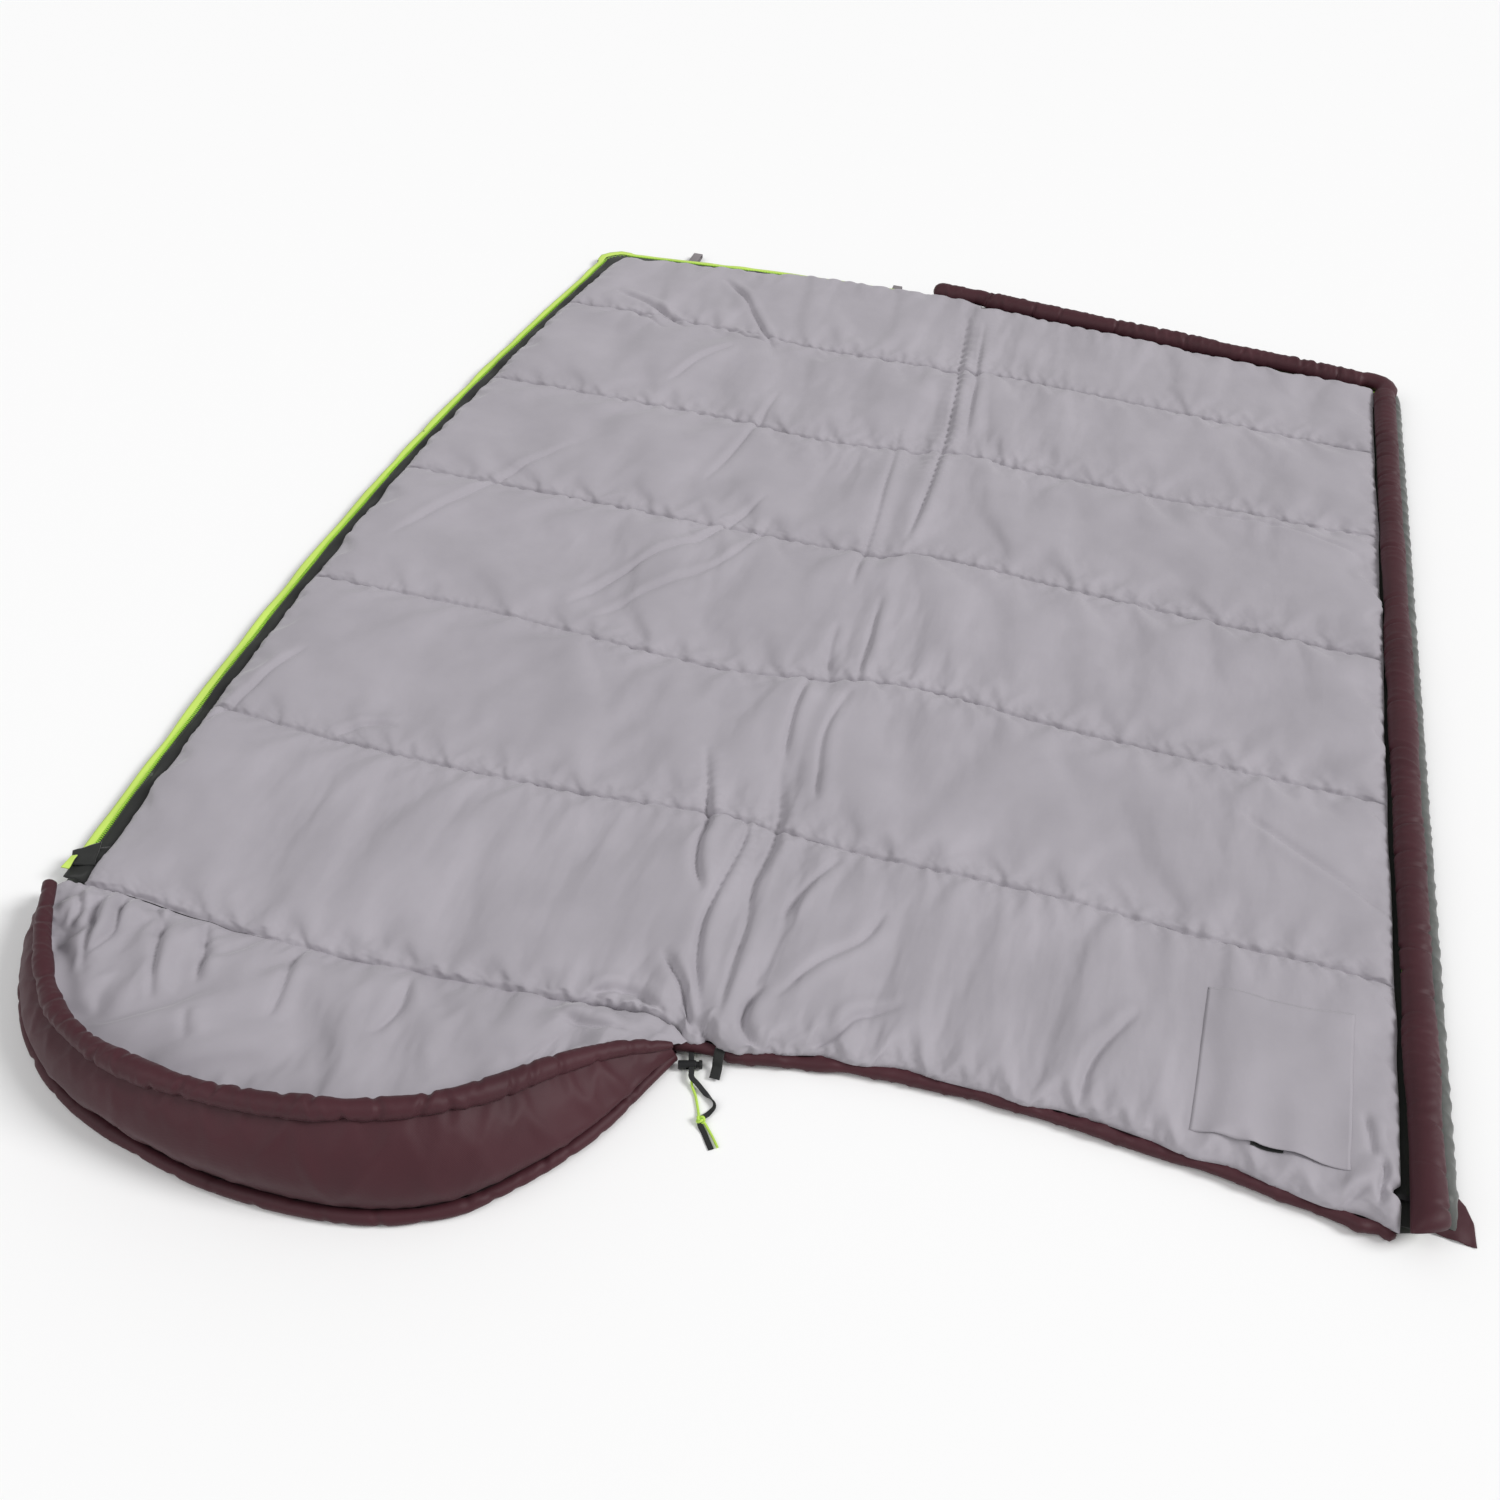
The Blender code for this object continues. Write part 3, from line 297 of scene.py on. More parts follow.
def spline(points, count):
    """count points along a Catmull-Rom curve through the points."""
    path = np.array(points, float)
    path = np.vstack([2 * path[0] - path[1], path, 2 * path[-1] - path[-2]])
    place = np.linspace(0, len(path) - 3, count)
    span = np.minimum(place.astype(int), len(path) - 4)
    t = (place - span)[:, None]
    a, b, c, d = (path[span + i] for i in range(4))
    square, cube = 2 * a - 5 * b + 4 * c - d, 3 * b - a - 3 * c + d
    return 0.5 * (2 * b + (c - a) * t + square * t ** 2 + cube * t ** 3)


def even(points, count):
    """The polyline resampled at even steps."""
    points = np.asarray(points, float)
    along = np.concatenate([[0], np.cumsum(np.linalg.norm(np.diff(points, axis=0), axis=1))])
    at = np.linspace(0, along[-1], count)
    return np.stack([np.interp(at, along, points[:, k]) for k in range(points.shape[1])], axis=1)


def directions(line):
    """Unit vectors along a line of points."""
    along = np.gradient(line, axis=0)
    return along / np.linalg.norm(along, axis=1, keepdims=True)


def bell(distance, width):
    return np.exp(-(distance / width) ** 2)


def lumps(u, v, seed):
    """Smooth noise of about unit spacing over the plane, from -1 to 1."""
    table = np.random.default_rng(seed).uniform(-1, 1, (64, 64))
    i, j = np.floor(u).astype(int), np.floor(v).astype(int)
    s, t = u - i, v - j
    s, t = s * s * (3 - 2 * s), t * t * (3 - 2 * t)
    i, j = i % 64, j % 64
    k, m = (i + 1) % 64, (j + 1) % 64
    low = table[i, j] * (1 - s) + table[k, j] * s
    high = table[i, m] * (1 - s) + table[k, m] * s
    return low * (1 - t) + high * t


def normals(grid):
    """Unit normals of a grid of points: the way along its rows crossed with the way down its columns."""
    along = np.gradient(grid, axis=1)
    across = np.gradient(grid, axis=0)
    n = np.cross(along, across)
    return n / np.maximum(np.linalg.norm(n, axis=2, keepdims=True), 1e-12)


def pair_slices(size, reach, step, phase):
    return slice(phase, size - reach, step), slice(phase + reach, size, step)


def link_sets(rows, cols):
    """Every set of independent grid links: (first points, second points, kind)."""
    whole = slice(None)
    sets = []
    for phase in (0, 1):
        a, b = pair_slices(cols, 1, 2, phase)
        sets.append(((whole, a), (whole, b), "x"))
        a, b = pair_slices(rows, 1, 2, phase)
        sets.append(((a, whole), (b, whole), "y"))
        sets.append(((a, slice(0, -1)), (b, slice(1, None)), "shear"))
        sets.append(((a, slice(1, None)), (b, slice(0, -1)), "shear"))
    for phase in range(4):
        a, b = pair_slices(cols, 2, 4, phase)
        sets.append(((whole, a), (whole, b), "bend"))
        a, b = pair_slices(rows, 2, 4, phase)
        sets.append(((a, whole), (b, whole), "bend"))
    return sets


DAMPING = 0.85


def relax(base, up, fixed, loose_x, loose_y, start, steps, bend, shear, hug):
    """Cloth of links on a padded surface.

    It is longer than the surface by loose_x and loose_y, rests on it and is drawn to it, so it gathers into
    folds between its fixed points.
    """
    place = start.copy()
    free = np.where(fixed, 0.0, 1.0)
    place[fixed] = base[fixed]
    sets = []
    for a, b, kind in link_sets(*base.shape[:2]):
        length = np.linalg.norm(base[b] - base[a], axis=2)
        if not length.size:
            continue
        if kind == "x":
            length = length * (1 + (loose_x[a] + loose_x[b]) / 2)
        elif kind == "y":
            length = length * (1 + (loose_y[a] + loose_y[b]) / 2)
        else:
            length = length * (1 + (loose_x[a] + loose_x[b] + loose_y[a] + loose_y[b]) / 4)
        give = {"x": 1.0, "y": 1.0, "shear": shear, "bend": bend}[kind]
        weight = np.maximum(free[a] + free[b], 1e-9)
        sets.append((a, b, length, give * free[a] / weight, give * free[b] / weight))
    before = place.copy()
    for _ in range(steps):
        drift = (place - before) * DAMPING - up * hug
        before = place.copy()
        place += drift * free[..., None]
        for a, b, length, share_a, share_b in sets:
            gap = place[b] - place[a]
            size = np.sqrt(np.einsum("ijk,ijk->ij", gap, gap)) + 1e-12
            gap *= ((size - length) / size)[..., None]
            place[a] += gap * share_a[..., None]
            place[b] -= gap * share_b[..., None]
        sunk = np.einsum("ijk,ijk->ij", place - base, up)
        place += up * (np.maximum(-sunk, 0) * free)[..., None]
    return place


def refine(offset):
    """A coarse grid's offsets carried to a grid of twice the links."""
    rows, cols = offset.shape[:2]
    wide = np.zeros((rows, 2 * cols - 1, 3))
    wide[:, ::2] = offset
    wide[:, 1::2] = (offset[:, 1:] + offset[:, :-1]) / 2
    tall = np.zeros((2 * rows - 1, 2 * cols - 1, 3))
    tall[::2] = wide
    tall[1::2] = (wide[1:] + wide[:-1]) / 2
    return tall


def drape(base, fixed, loose_x, loose_y, seed, steps=(150, 100, 40), bend=0.5, shear=0.12, hug=4e-6,
          rough=0.01, most=0.014, guide=None):
    """relax() from a coarse grid to the full one, so that long folds form first and small ones on them.

    guide, from 0 to 1, says where the long folds begin.
    """
    loose_x, loose_y = (np.broadcast_to(loose, fixed.shape) for loose in (loose_x, loose_y))
    rng = np.random.default_rng(seed)
    offset = None
    for level in range(len(steps)):
        step = 2 ** (len(steps) - 1 - level)
        part = (slice(None, None, step), slice(None, None, step))
        surface = base[part]
        up = normals(surface)
        if offset is None:
            start = rng.uniform(0, rough, surface.shape[:2])
            if guide is not None:
                start = start * 0.4 + rough * guide[part]
            offset = up * start[..., None]
        else:
            offset = refine(offset)
            offset += up * rng.uniform(0, rough * 0.15, surface.shape[:2])[..., None]
        placed = relax(surface, up, fixed[part], loose_x[part], loose_y[part], surface + offset, steps[level],
                       bend, shear, hug)
        offset = placed - surface
    height = np.einsum("ijk,ijk->ij", offset, up)
    return base + offset + up * (most * np.tanh(height / most) - height)[..., None]


def soften(grid, fixed, rounds=1):
    """Takes the last grid-sized roughness off."""
    for _ in range(rounds):
        middle = (grid[1:-1, :-2] + grid[1:-1, 2:] + grid[:-2, 1:-1] + grid[2:, 1:-1]) / 4
        keep = fixed[1:-1, 1:-1][..., None]
        grid[1:-1, 1:-1] = np.where(keep, grid[1:-1, 1:-1], grid[1:-1, 1:-1] * 0.5 + middle * 0.5)
    return grid


def held(grid, sides=True):
    """Marks a grid's first and last rows as fixed, and its first and last columns."""
    fixed = np.zeros(grid.shape[:2], bool)
    fixed[[0, -1]] = True
    fixed[:, [0, -1]] |= sides
    return fixed


def quads_of(grid):
    rows, cols = grid.shape[:2]
    index = np.arange(rows * cols).reshape(rows, cols)
    return np.stack([index[:-1, :-1], index[:-1, 1:], index[1:, 1:], index[1:, :-1]], axis=2).reshape(-1, 4)


def grid_mesh(name, grid, slot, thickness=0.0, flip=False, look=None):
    """A smooth mesh over a grid of points, in its slot's look unless another is named."""
    quads = quads_of(grid)
    if flip:
        quads = quads[:, ::-1]
    mesh = bpy.data.meshes.new(name)
    mesh.from_pydata(grid.reshape(-1, 3).tolist(), [], quads.tolist())
    mesh.polygons.foreach_set("use_smooth", [True] * len(mesh.polygons))
    return finish_piece(name, mesh, slot, thickness, look)


def finish_piece(name, mesh, slot, thickness=0.0, look=None):
    item = new_object(name, mesh)
    mesh.materials.append(LOOKS[look or slot])
    if thickness:
        solidify = item.modifiers.new("cloth", "SOLIDIFY")
        solidify.thickness = thickness
        solidify.offset = -1
    return item


def bar(name, points, radius, slot, sides=3, body=None):
    """A round cord or bar along the points."""
    curve = bpy.data.curves.new(name, "CURVE")
    curve.dimensions = "3D"
    line = curve.splines.new("POLY")
    line.points.add(len(points) - 1)
    for target, point in zip(line.points, points):
        target.co = (*point, 1)
    curve.bevel_depth = radius
    curve.bevel_resolution = sides
    curve.use_fill_caps = True
    item = new_object(name, curve)
    curve.materials.append(LOOKS[slot])
    if body:
        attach(item, body)
    return item


# ---- cords

def cord_points(route, height, tail, count):
    """A cord's line: straight through the lock, along the floor, through the knot and to its tail's end."""
    turn = Matrix.Rotation(LOCK_TURN, 3, "Z")
    first = LOCK_CENTRE + turn @ Vector((CORD_LANE, -STRAIGHT_START, 0))
    last = LOCK_CENTRE + turn @ Vector((CORD_LANE, -STRAIGHT_END, 0))
    straight = [first.lerp(last, i / 4) for i in range(5)]
    line = [*[(p.x, p.y, height) for p in straight], *route]
    return np.vstack([spline(line, count), spline([line[-1], KNOT_CENTRE, *tail], count // 2)[1:]])


def ribbon(name, line, width, thickness, turns, slot):
    """A flat cord: its section is turned about the line by the given angles, which twist it over."""
    line = even(line, 90)
    along = directions(line)
    side = np.cross(along, (0, 0, 1.0))
    side /= np.linalg.norm(side, axis=1, keepdims=True)
    top = np.cross(side, along)
    angle = np.interp(np.linspace(0, 1, len(line)), *zip(*turns))[:, None]
    flat = side * np.cos(angle) + top * np.sin(angle)
    thick = np.cross(flat, along)
    section = [(-0.5, 0), (-0.46, 0.4), (-0.3, 0.5), (0.3, 0.5), (0.46, 0.4), (0.5, 0), (0.46, -0.4),
               (0.3, -0.5), (-0.3, -0.5), (-0.46, -0.4), (-0.5, 0)]
    grid = np.stack([line + flat * (w * width) + thick * (h * thickness) for w, h in section])
    grid[..., 2] = np.maximum(grid[..., 2], 0.0002)
    return grid_mesh(name, grid, slot), line


def free_cords():
    flat_line = cord_points(FLAT_CORD_ROUTE, FLAT_CORD_Z, FLAT_TAIL_ROUTE, 60)
    round_line = cord_points(ROUND_CORD_ROUTE, ROUND_CORD_Z, ROUND_TAIL_ROUTE, 50)
    twist = [(0, 0), (0.42, 0), (0.5, 1.2), (0.58, 2.6), (0.66, 3.14), (1, 3.14)]
    size = FLAT_CORD_WIDTH, FLAT_CORD_THICKNESS
    flat, flat_line = ribbon("flat_elastic", flat_line, *size, twist, "black_cord")
    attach(flat, "under_half")
    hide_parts("flat_cord", "flat_cord_tail")
    lime = bar("lime_drawcord", round_line, ROUND_CORD_DIAMETER / 2, "lime_cord", body="under_half")
    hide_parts("round_cord", "round_cord_tail")
    knot = overhand_knot()
    lengths = [float(np.linalg.norm(np.diff(line, axis=0), axis=1).sum()) for line in (flat_line, round_line)]
    tuple(flat_line[0])
    [tuple(p) for p in flat_line]


def overhand_knot():
    """The turns of both cords, pulled tight."""
    points = []
    for i in range(64):
        a = 2 * math.pi * i / 63
        r = 0.0029 + 0.001 * math.cos(3 * a)
        points.append((KNOT_CENTRE[0] + r * math.cos(2 * a), KNOT_CENTRE[1] + r * math.sin(2 * a),
                       KNOT_CENTRE[2] + 0.0022 * math.sin(3 * a)))
    knot = bar("tied_knot", points, 0.0016, "lime_cord", body="under_half")
    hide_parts("cord_knot")
    return knot


free_cords()


def plunger_spring():
    """The lock's coil, copied as the CAD model has it between its closed end and the plunger."""
    node = frame["nodes"]["cord_lock_spring"]
    mesh = node.data.copy()
    mesh.transform(node.matrix_world)
    mesh.materials.clear()
    spring = finish_piece("plunger_spring", mesh, "spring_steel")
    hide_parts("cord_lock_spring")
    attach(spring, "cord_lock")
    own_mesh(spring)


plunger_spring()


# ---- plan of the pad

ROWS_PER_CHANNEL, COLS_PER_HALF = 96, 256


def under_side(y):
    """Half-width of the under half at y: its side bows outwards."""
    share = np.clip((UNDER_CORNER_Y - y) / (UNDER_CORNER_Y - HEAD), 0, 1)
    return -UNDER_SIDE_X + UNDER_SIDE_BOW * np.sin(math.pi * share)


def along_x(points, x):
    """y of a line across the bag at x."""
    line = spline(sorted(points), 60)
    return np.interp(x, line[:, 0], line[:, 1])


def seam_lines(x):
    """y of the seven lines that bound the channels, at x."""
    head = np.where(x < 0.01, along_x(NECK_LINE, x), along_x(UPPER_HEAD, x))
    foot = np.where(x < 0, along_x(UNDER_FOOT, x), along_x(UPPER_FOOT, x))
    inner = [along_x(points, x) for points in SEAMS]
    return np.stack([head, *inner, foot])


def round_rise(distance, width, power=0.7):
    """0 at an edge or seam, rising steeply and then levelling to 1 at width."""
    return (1 - (1 - np.clip(distance / width, 0, 1)) ** 2) ** power


def lining_plan():
    """x, y and the distances to the seams and the four edges for every point of the lining's grid."""
    s = np.concatenate([np.linspace(-1, 0, COLS_PER_HALF + 1), np.linspace(0, 1, COLS_PER_HALF + 1)[1:]])
    t = np.linspace(0, 6, 6 * ROWS_PER_CHANNEL + 1)
    t, s = np.meshgrid(t, s, indexing="ij")
    x = np.where(s < 0, s * 0.785, s * (UPPER_SIDE_X + RIGHT_OVER))
    lines = seam_lines(x)
    scallop = 0.0045 * lumps(x[:1] / 0.045 + 8, 0, 15)
    lines[0] -= (HEAD_OVER + scallop) * np.clip(x / 0.05, 0, 1)
    lines[0] += 0.008 * bell(x - 0.014, 0.01)
    lines[-1] += np.interp(x, [-0.46, -0.38, -0.02, 0.02], [-0.001, 0.011, 0.011, FOOT_OVER])
    lines[-1] += np.interp(x, [-0.46, -0.38], [0.005, 0.002]) * lumps(x / 0.06 + 3, 0, 16)
    channel = np.minimum(t.astype(int), 5)
    t = t - 0.7 * np.sin(2 * math.pi * t) / (2 * math.pi)
    low = np.take_along_axis(lines, channel[None], 0)[0]
    high = np.take_along_axis(lines, channel[None] + 1, 0)[0]
    y = low + (high - low) * (t - channel)
    over = SIDE_OVER + 0.0025 * lumps(y / 0.05 + 30, 0, 17) - 0.01 * bell(y - 0.915, 0.03)
    x = np.where(s < 0, s * (under_side(y) + over), x)
    tucked = np.interp(y, [-0.9, -0.3, 0.2, 0.8, 0.87], [0, 0.0025, 0.0055, 0.0055, 0.01])
    x = np.where(s > 0, x + s ** 8 * (tucked + 0.002 * lumps(y / 0.06 + 30, 0, 18)), x)
    notch = 0.0078 * np.exp(-((y - PULLER_Y) / 0.0085) ** 4)
    x = x - notch * np.clip((s - 0.92) / 0.08, 0, 1) ** 1.5
    seam = np.min(np.abs(lines[1:-1] - y), axis=0)
    seam = np.where(x < 0, np.minimum(seam, y - lines[0]), seam)
    left = np.where(s < 0, x - x[:, :1], 9)
    right = np.where(s > 0, x[:, -1:] - x, 9)
    head = np.where(x > -0.03, y - lines[0], 9)
    foot = lines[-1] - y
    return x, y, seam, left, right, head, foot


def pad_surface(x, y, seam, left, right, head, foot):
    """The wadding's top: channels between the seams, rolled over at the edges."""
    z = SEAM_Z + (PAD_Z - SEAM_Z) * round_rise(seam, 0.055)
    z = z + 0.004 * lumps(x / 0.14 + 7, y / 0.11 + 3, 1) * round_rise(seam, 0.05)
    z = z - 0.005 * bell(x + 0.012, 0.022)
    z = z - 0.008 * np.exp(-((x - 0.004) / 0.01) ** 2 - (y - HEAD) / 0.05)
    rise = np.ones_like(x)
    for distance, width in ((left, 0.034), (right, 0.016), (head, 0.036), (foot, 0.022)):
        rise = rise * round_rise(distance, width, 0.6)
    beside_zip = np.exp(-right / 0.03) * np.clip(np.minimum(head, foot) / 0.028, 0, 1)
    edge = EDGE_Z + (ZIP_SIDE_Z - EDGE_Z) * beside_zip
    return edge + (z - edge) * rise


def stitching(x, y, seam):
    """The sewn seams: a narrow valley, puckered on both sides."""
    pucker = lumps(x / 0.011 + 20, y / 0.05 + 20, 7) + 0.6 * lumps(x / 0.006 + 20, y / 0.03 + 20, 8)
    depth = 0.003 + 0.0016 * lumps(x / 0.045 + 20, y / 0.2 + 20, 9)
    return -depth * bell(seam, 0.0032) + 0.0016 * pucker * np.exp(-seam / 0.01)


def neck_height(x):
    """Height of the seam between the hood's lining and the under half's."""
    return SEAM_Z - 0.003 + 0.0026 * lumps(x / 0.028 + 60, 0, 19)


CREASE_POINTS = 40


def creases(x, y, folds):
    """Long creases: narrow valleys, each with a soft ridge on both sides."""
    z = np.zeros_like(x)
    for depth, points in folds:
        line = spline(metres(points), CREASE_POINTS)
        low, high = line.min(0) - 0.05, line.max(0) + 0.05
        near = (x > low[0]) & (x < high[0]) & (y > low[1]) & (y < high[1])
        place = np.stack([x[near], y[near]], axis=1)
        gap = place[:, None] - line[None]
        nearest = np.argmin((gap ** 2).sum(2), axis=1)
        along = directions(line)
        gap, along = gap[np.arange(len(nearest)), nearest], along[nearest]
        side = gap[:, 0] * along[:, 1] - gap[:, 1] * along[:, 0]
        beyond = np.abs((gap * along).sum(1))
        last = CREASE_POINTS - 1
        share = np.minimum(nearest, last - nearest) / last
        taper = np.clip(share / 0.2, 0, 1) ** 0.7 * bell(beyond, 0.01)
        valley = -bell(side, 0.0042)
        ridges = 0.55 * bell(side + 0.013, 0.009) + 0.3 * bell(side - 0.015, 0.012)
        z[near] += depth / 1000 * taper * (valley + ridges)
    return z


def bend_at_fold(piece):
    """Bakes the piece's transform into its mesh."""
    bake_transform(piece)


def bend_at_neck(piece):
    """Bakes the piece's transform into its mesh."""
    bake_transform(piece)


def lining():
    plan = lining_plan()
    x, y, seam, left, right, head, foot = plan
    base = np.dstack([x, y, pad_surface(*plan)])
    fixed = held(base)
    fixed[::ROWS_PER_CHANNEL] = True
    neck = x[0] < -0.03
    base[0, neck, 2] = neck_height(x[0, neck])
    inner = slice(ROWS_PER_CHANNEL, -1, ROWS_PER_CHANNEL), slice(1, -1)
    base[(*inner, 1)] += 0.0018 * lumps(x[inner] / 0.014 + 9, y[inner] * 5 + 9, 2)
    reach = np.hypot(x, y - HEAD)
    towards_head = np.exp(-(y - HEAD) / 0.8)
    skew = lumps((x + 0.5 * y) / 0.16 + 20, (y - 0.4 * x) / 0.3 + 20, 3)
    loose_x = (0.021 + 0.016 * np.clip(skew, -1, 1) + 0.02 * np.exp(-seam / 0.012)
               + (0.01 + 0.03 * towards_head) * bell(x - 0.02, 0.09)
               + 0.12 * bell(reach, 0.17) + 0.07 * np.exp(-head / 0.05) + 0.03 * np.exp(-foot / 0.04))
    other = lumps((x - 0.3 * y) / 0.22 + 40, (y + 0.5 * x) / 0.22 + 40, 4)
    loose_y = (0.008 + 0.008 * np.clip(other, -1, 1) + 0.045 * np.exp(-left / 0.035)
               + 0.055 * np.exp(-np.maximum(right, 0) / 0.035))
    turn = np.arctan2(x - 0.005, y - HEAD + 0.02)
    fan = lumps(turn * 10 + 30, reach / 0.5 + 10, 5)
    slant = lumps((x + 0.3 * y) / 0.06 + 30, (y - 0.3 * x) / 0.4 + 20, 6)
    near = bell(reach, 0.7)
    guide = 0.5 + 0.5 * (fan * near + slant * (1 - near))
    cloth = drape(base, fixed, np.maximum(loose_x, 0.002), np.maximum(loose_y, 0.001), 11,
                  steps=(200, 200, 100, 30), bend=0.6, rough=0.015, most=0.012, guide=guide)
    cloth = soften(cloth, fixed)
    rim = np.minimum(np.minimum(left, right), np.minimum(head, foot))
    cloth[..., 2] += (stitching(x, y, seam) + creases(x, y, CREASES)) * np.clip(rim / 0.012, 0, 1)
    cloth[..., 2] = np.maximum(cloth[..., 2], 0.0148)
    cloth[0, neck, 2] = neck_height(cloth[0, neck, 0])
    piece = grid_mesh("bag_lining", cloth, "lining_fabric")
    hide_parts("under_half_lining", "under_half_filling", "upper_half_lining", "upper_half_filling")
    bend_at_fold(piece)
    return cloth


# ---- edges of the two halves

def outward(line):
    """Unit vectors to the right of an open line's direction, in the plan."""
    along = directions(line)
    return np.stack([along[:, 1], -along[:, 0]], axis=1)


def stepped(line, step):
    """The line with points about a step apart, as many as drape() can halve three times."""
    count = int(np.linalg.norm(np.diff(line, axis=0), axis=1).sum() / step)
    return even(line, count // 8 * 8 + 1)


def left_edge():
    """The under half's edge, clockwise seen from above: up its side from the head, then along its foot."""
    y = np.linspace(-0.957, 0.918, 200)
    side = np.stack([-under_side(y), y], axis=1)
    x = np.linspace(UNDER_SIDE_X + 0.006, -0.125, 60)
    foot = np.stack([x, along_x(UNDER_FOOT, x)], axis=1)
    return stepped(np.vstack([side, foot]), EDGE_STEP)


def right_edge(end_x, start_y, step=EDGE_STEP):
    """The upper half's edge from start_y near its head corner, along its side and its foot to end_x."""
    fold_y, corner_y = UPPER_FOOT[0][1], UPPER_FOOT[1][1]
    side = np.stack([np.full(100, UPPER_SIDE_X), np.linspace(start_y, corner_y - 0.004, 100)], axis=1)
    x = np.linspace(UPPER_SIDE_X - 0.004, end_x, 60)
    y = fold_y - (fold_y - corner_y) / UPPER_SIDE_X * np.maximum(x, 0) + 0.008 * (x < -0.01)
    foot = np.stack([x, y], axis=1)
    return stepped(np.vstack([side, foot]), step)


def swept(line, side, section):
    """A grid from a section of (offset outwards, height) points swept along a line in the plan.

    section is an array of one (rows, 2) section, or of a section for every point of the line.
    """
    section = np.asarray(section, float)
    if section.ndim == 2:
        section = np.repeat(section[:, None], len(line), axis=1)
    flat = line[None] + side[None] * section[..., :1]
    return np.dstack([flat, section[..., 1:]])


def mitre(line, side):
    """How much further an offset goes at a corner, for square corners."""
    along = np.stack([-side[:, 1], side[:, 0]], axis=1)
    before = np.roll(along, 3, axis=0)
    before[:3] = along[:3]
    after = np.roll(along, -3, axis=0)
    after[-3:] = along[-3:]
    cosine = np.clip((before * after).sum(1), 0, 1)
    return 1 / np.sqrt((1 + cosine) / 2)


def wander(along, seed):
    """How far a strip or coil strays from its edge's line."""
    return 0.0012 * lumps(0, along / 0.06 + 3, seed)


def band(name, line, side, inner, outer, height, slot, seed, waves, rows=5, look=None):
    """A flat strip beside an edge, gently waved."""
    across = np.linspace(inner, outer, rows)
    along = np.arange(len(line)) * EDGE_STEP
    grid = swept(line, side * mitre(line, side)[:, None], np.stack([across, np.full(rows, height)], axis=1))
    u, v = np.meshgrid(across / 0.012, along / 0.035, indexing="ij")
    grid[..., 2] += waves * lumps(u + 5, v + 5, seed) + waves
    grid[..., :2] += side * wander(along, seed + 1)[:, None]
    return grid_mesh(name, grid, slot, 0.0008, look=look)


def left_zip():
    line = left_edge()
    side = -outward(line)
    tape = band("tape_by_lining", line, side, *TAPE_SPAN, 0.0122, "zip_tape", 21, 0.002, 9)
    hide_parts("zip_tape_left")
    # the lime binding is really lime; its paler, yellower tone is a painted highlight
    light = band("lime_binding", line, side, *LIME_SPAN, 0.0128, "lime_coil", 23, 0.0014, look="lime_painted_highlight")
    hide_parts("zip_coil_left")
    teeth = coil("zip_teeth_left", line, side, COIL_OUT, 0.0155, 21)
    for piece in (tape, light, teeth):
        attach(piece, "under_half")


def coil(name, line, side, offset, height, seed, pitch=0.0032, radius=0.0021, wire=0.00055):
    """The zip's spiral of teeth along an edge."""
    along = np.arange(len(line)) * EDGE_STEP
    middle = line + side * (offset + wander(along, seed + 1))[:, None]
    turns = int(along[-1] / pitch)
    angle = np.linspace(0, 2 * math.pi * turns, turns * 6 + 1)
    at = angle / angle[-1] * along[-1]
    x, y = (np.interp(at, along, middle[:, k]) for k in (0, 1))
    sx, sy = (np.interp(at, along, side[:, k]) for k in (0, 1))
    z = height + 0.8 * radius * np.sin(angle)
    out = radius * np.cos(angle)
    return bar(name, np.stack([x + sx * out, y + sy * out, z], axis=1), wire, "lime_coil", sides=0)


def shell():
    """The olive outside: a flat underside, and a crinkled roll that shows past the draught tube."""
    rows, cols = 121, 193
    t, s = np.meshgrid(np.linspace(0, 1, rows), np.linspace(-1, 1, cols), indexing="ij")
    x = np.where(s < 0, s * 0.82, s * 0.812)
    trimmed = 0.35 * np.maximum(x - UPPER_SIDE_X, 0)
    head = np.where(x < 0, NECK_Y + 0.002, along_x(UPPER_HEAD, x) - 0.003 + trimmed)
    foot = np.where(x < 0, along_x(UNDER_FOOT, x) + 0.04, along_x([(0, 1.002), (0.83, 0.905)], x))
    foot -= trimmed
    y = head + (foot - head) * t
    x = np.where(s < 0, s * (under_side(y) + 0.0405), x)
    z = 0.0016 + 0.0012 * lumps(x / 0.05 + 3, y / 0.05 + 3, 31)
    lines = seam_lines(np.clip(x, -0.8, 0.745))
    seam = np.min(np.abs(lines[1:-1] - y), axis=0)
    z += 0.004 * np.exp(-seam / 0.012)
    under = grid_mesh("shell_underside", np.dstack([x, y, z]), "shell_fabric", flip=True)
    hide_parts("under_half_shell", "upper_half_shell")
    bend_at_fold(under)
    line = right_edge(-0.02, HEAD + 0.016)
    side = outward(line)
    section = even([(0.044, 0.0028), (0.063, 0.0022), (0.0695, 0.0065), (0.0695, 0.015), (0.064, 0.0235),
                    (0.054, 0.0275), (0.046, 0.0265)], 13)
    base = swept(line, side, section)
    closing = np.clip(np.arange(len(line)) * EDGE_STEP / 0.025, 0.05, 1) ** 0.5
    base[..., 2] = 0.0022 + (base[..., 2] - 0.0022) * closing
    base[0, :, 2] = 0.0025
    fixed = held(base)
    roll = drape(base, fixed, 0.06, 0.03, 33, bend=0.4, rough=0.006, most=0.006)
    roll[..., 2] = np.maximum(roll[..., 2], 0.0012)
    edge = grid_mesh("shell_edge_roll", soften(roll, fixed), "shell_fabric", flip=True)
    bend_at_fold(edge)


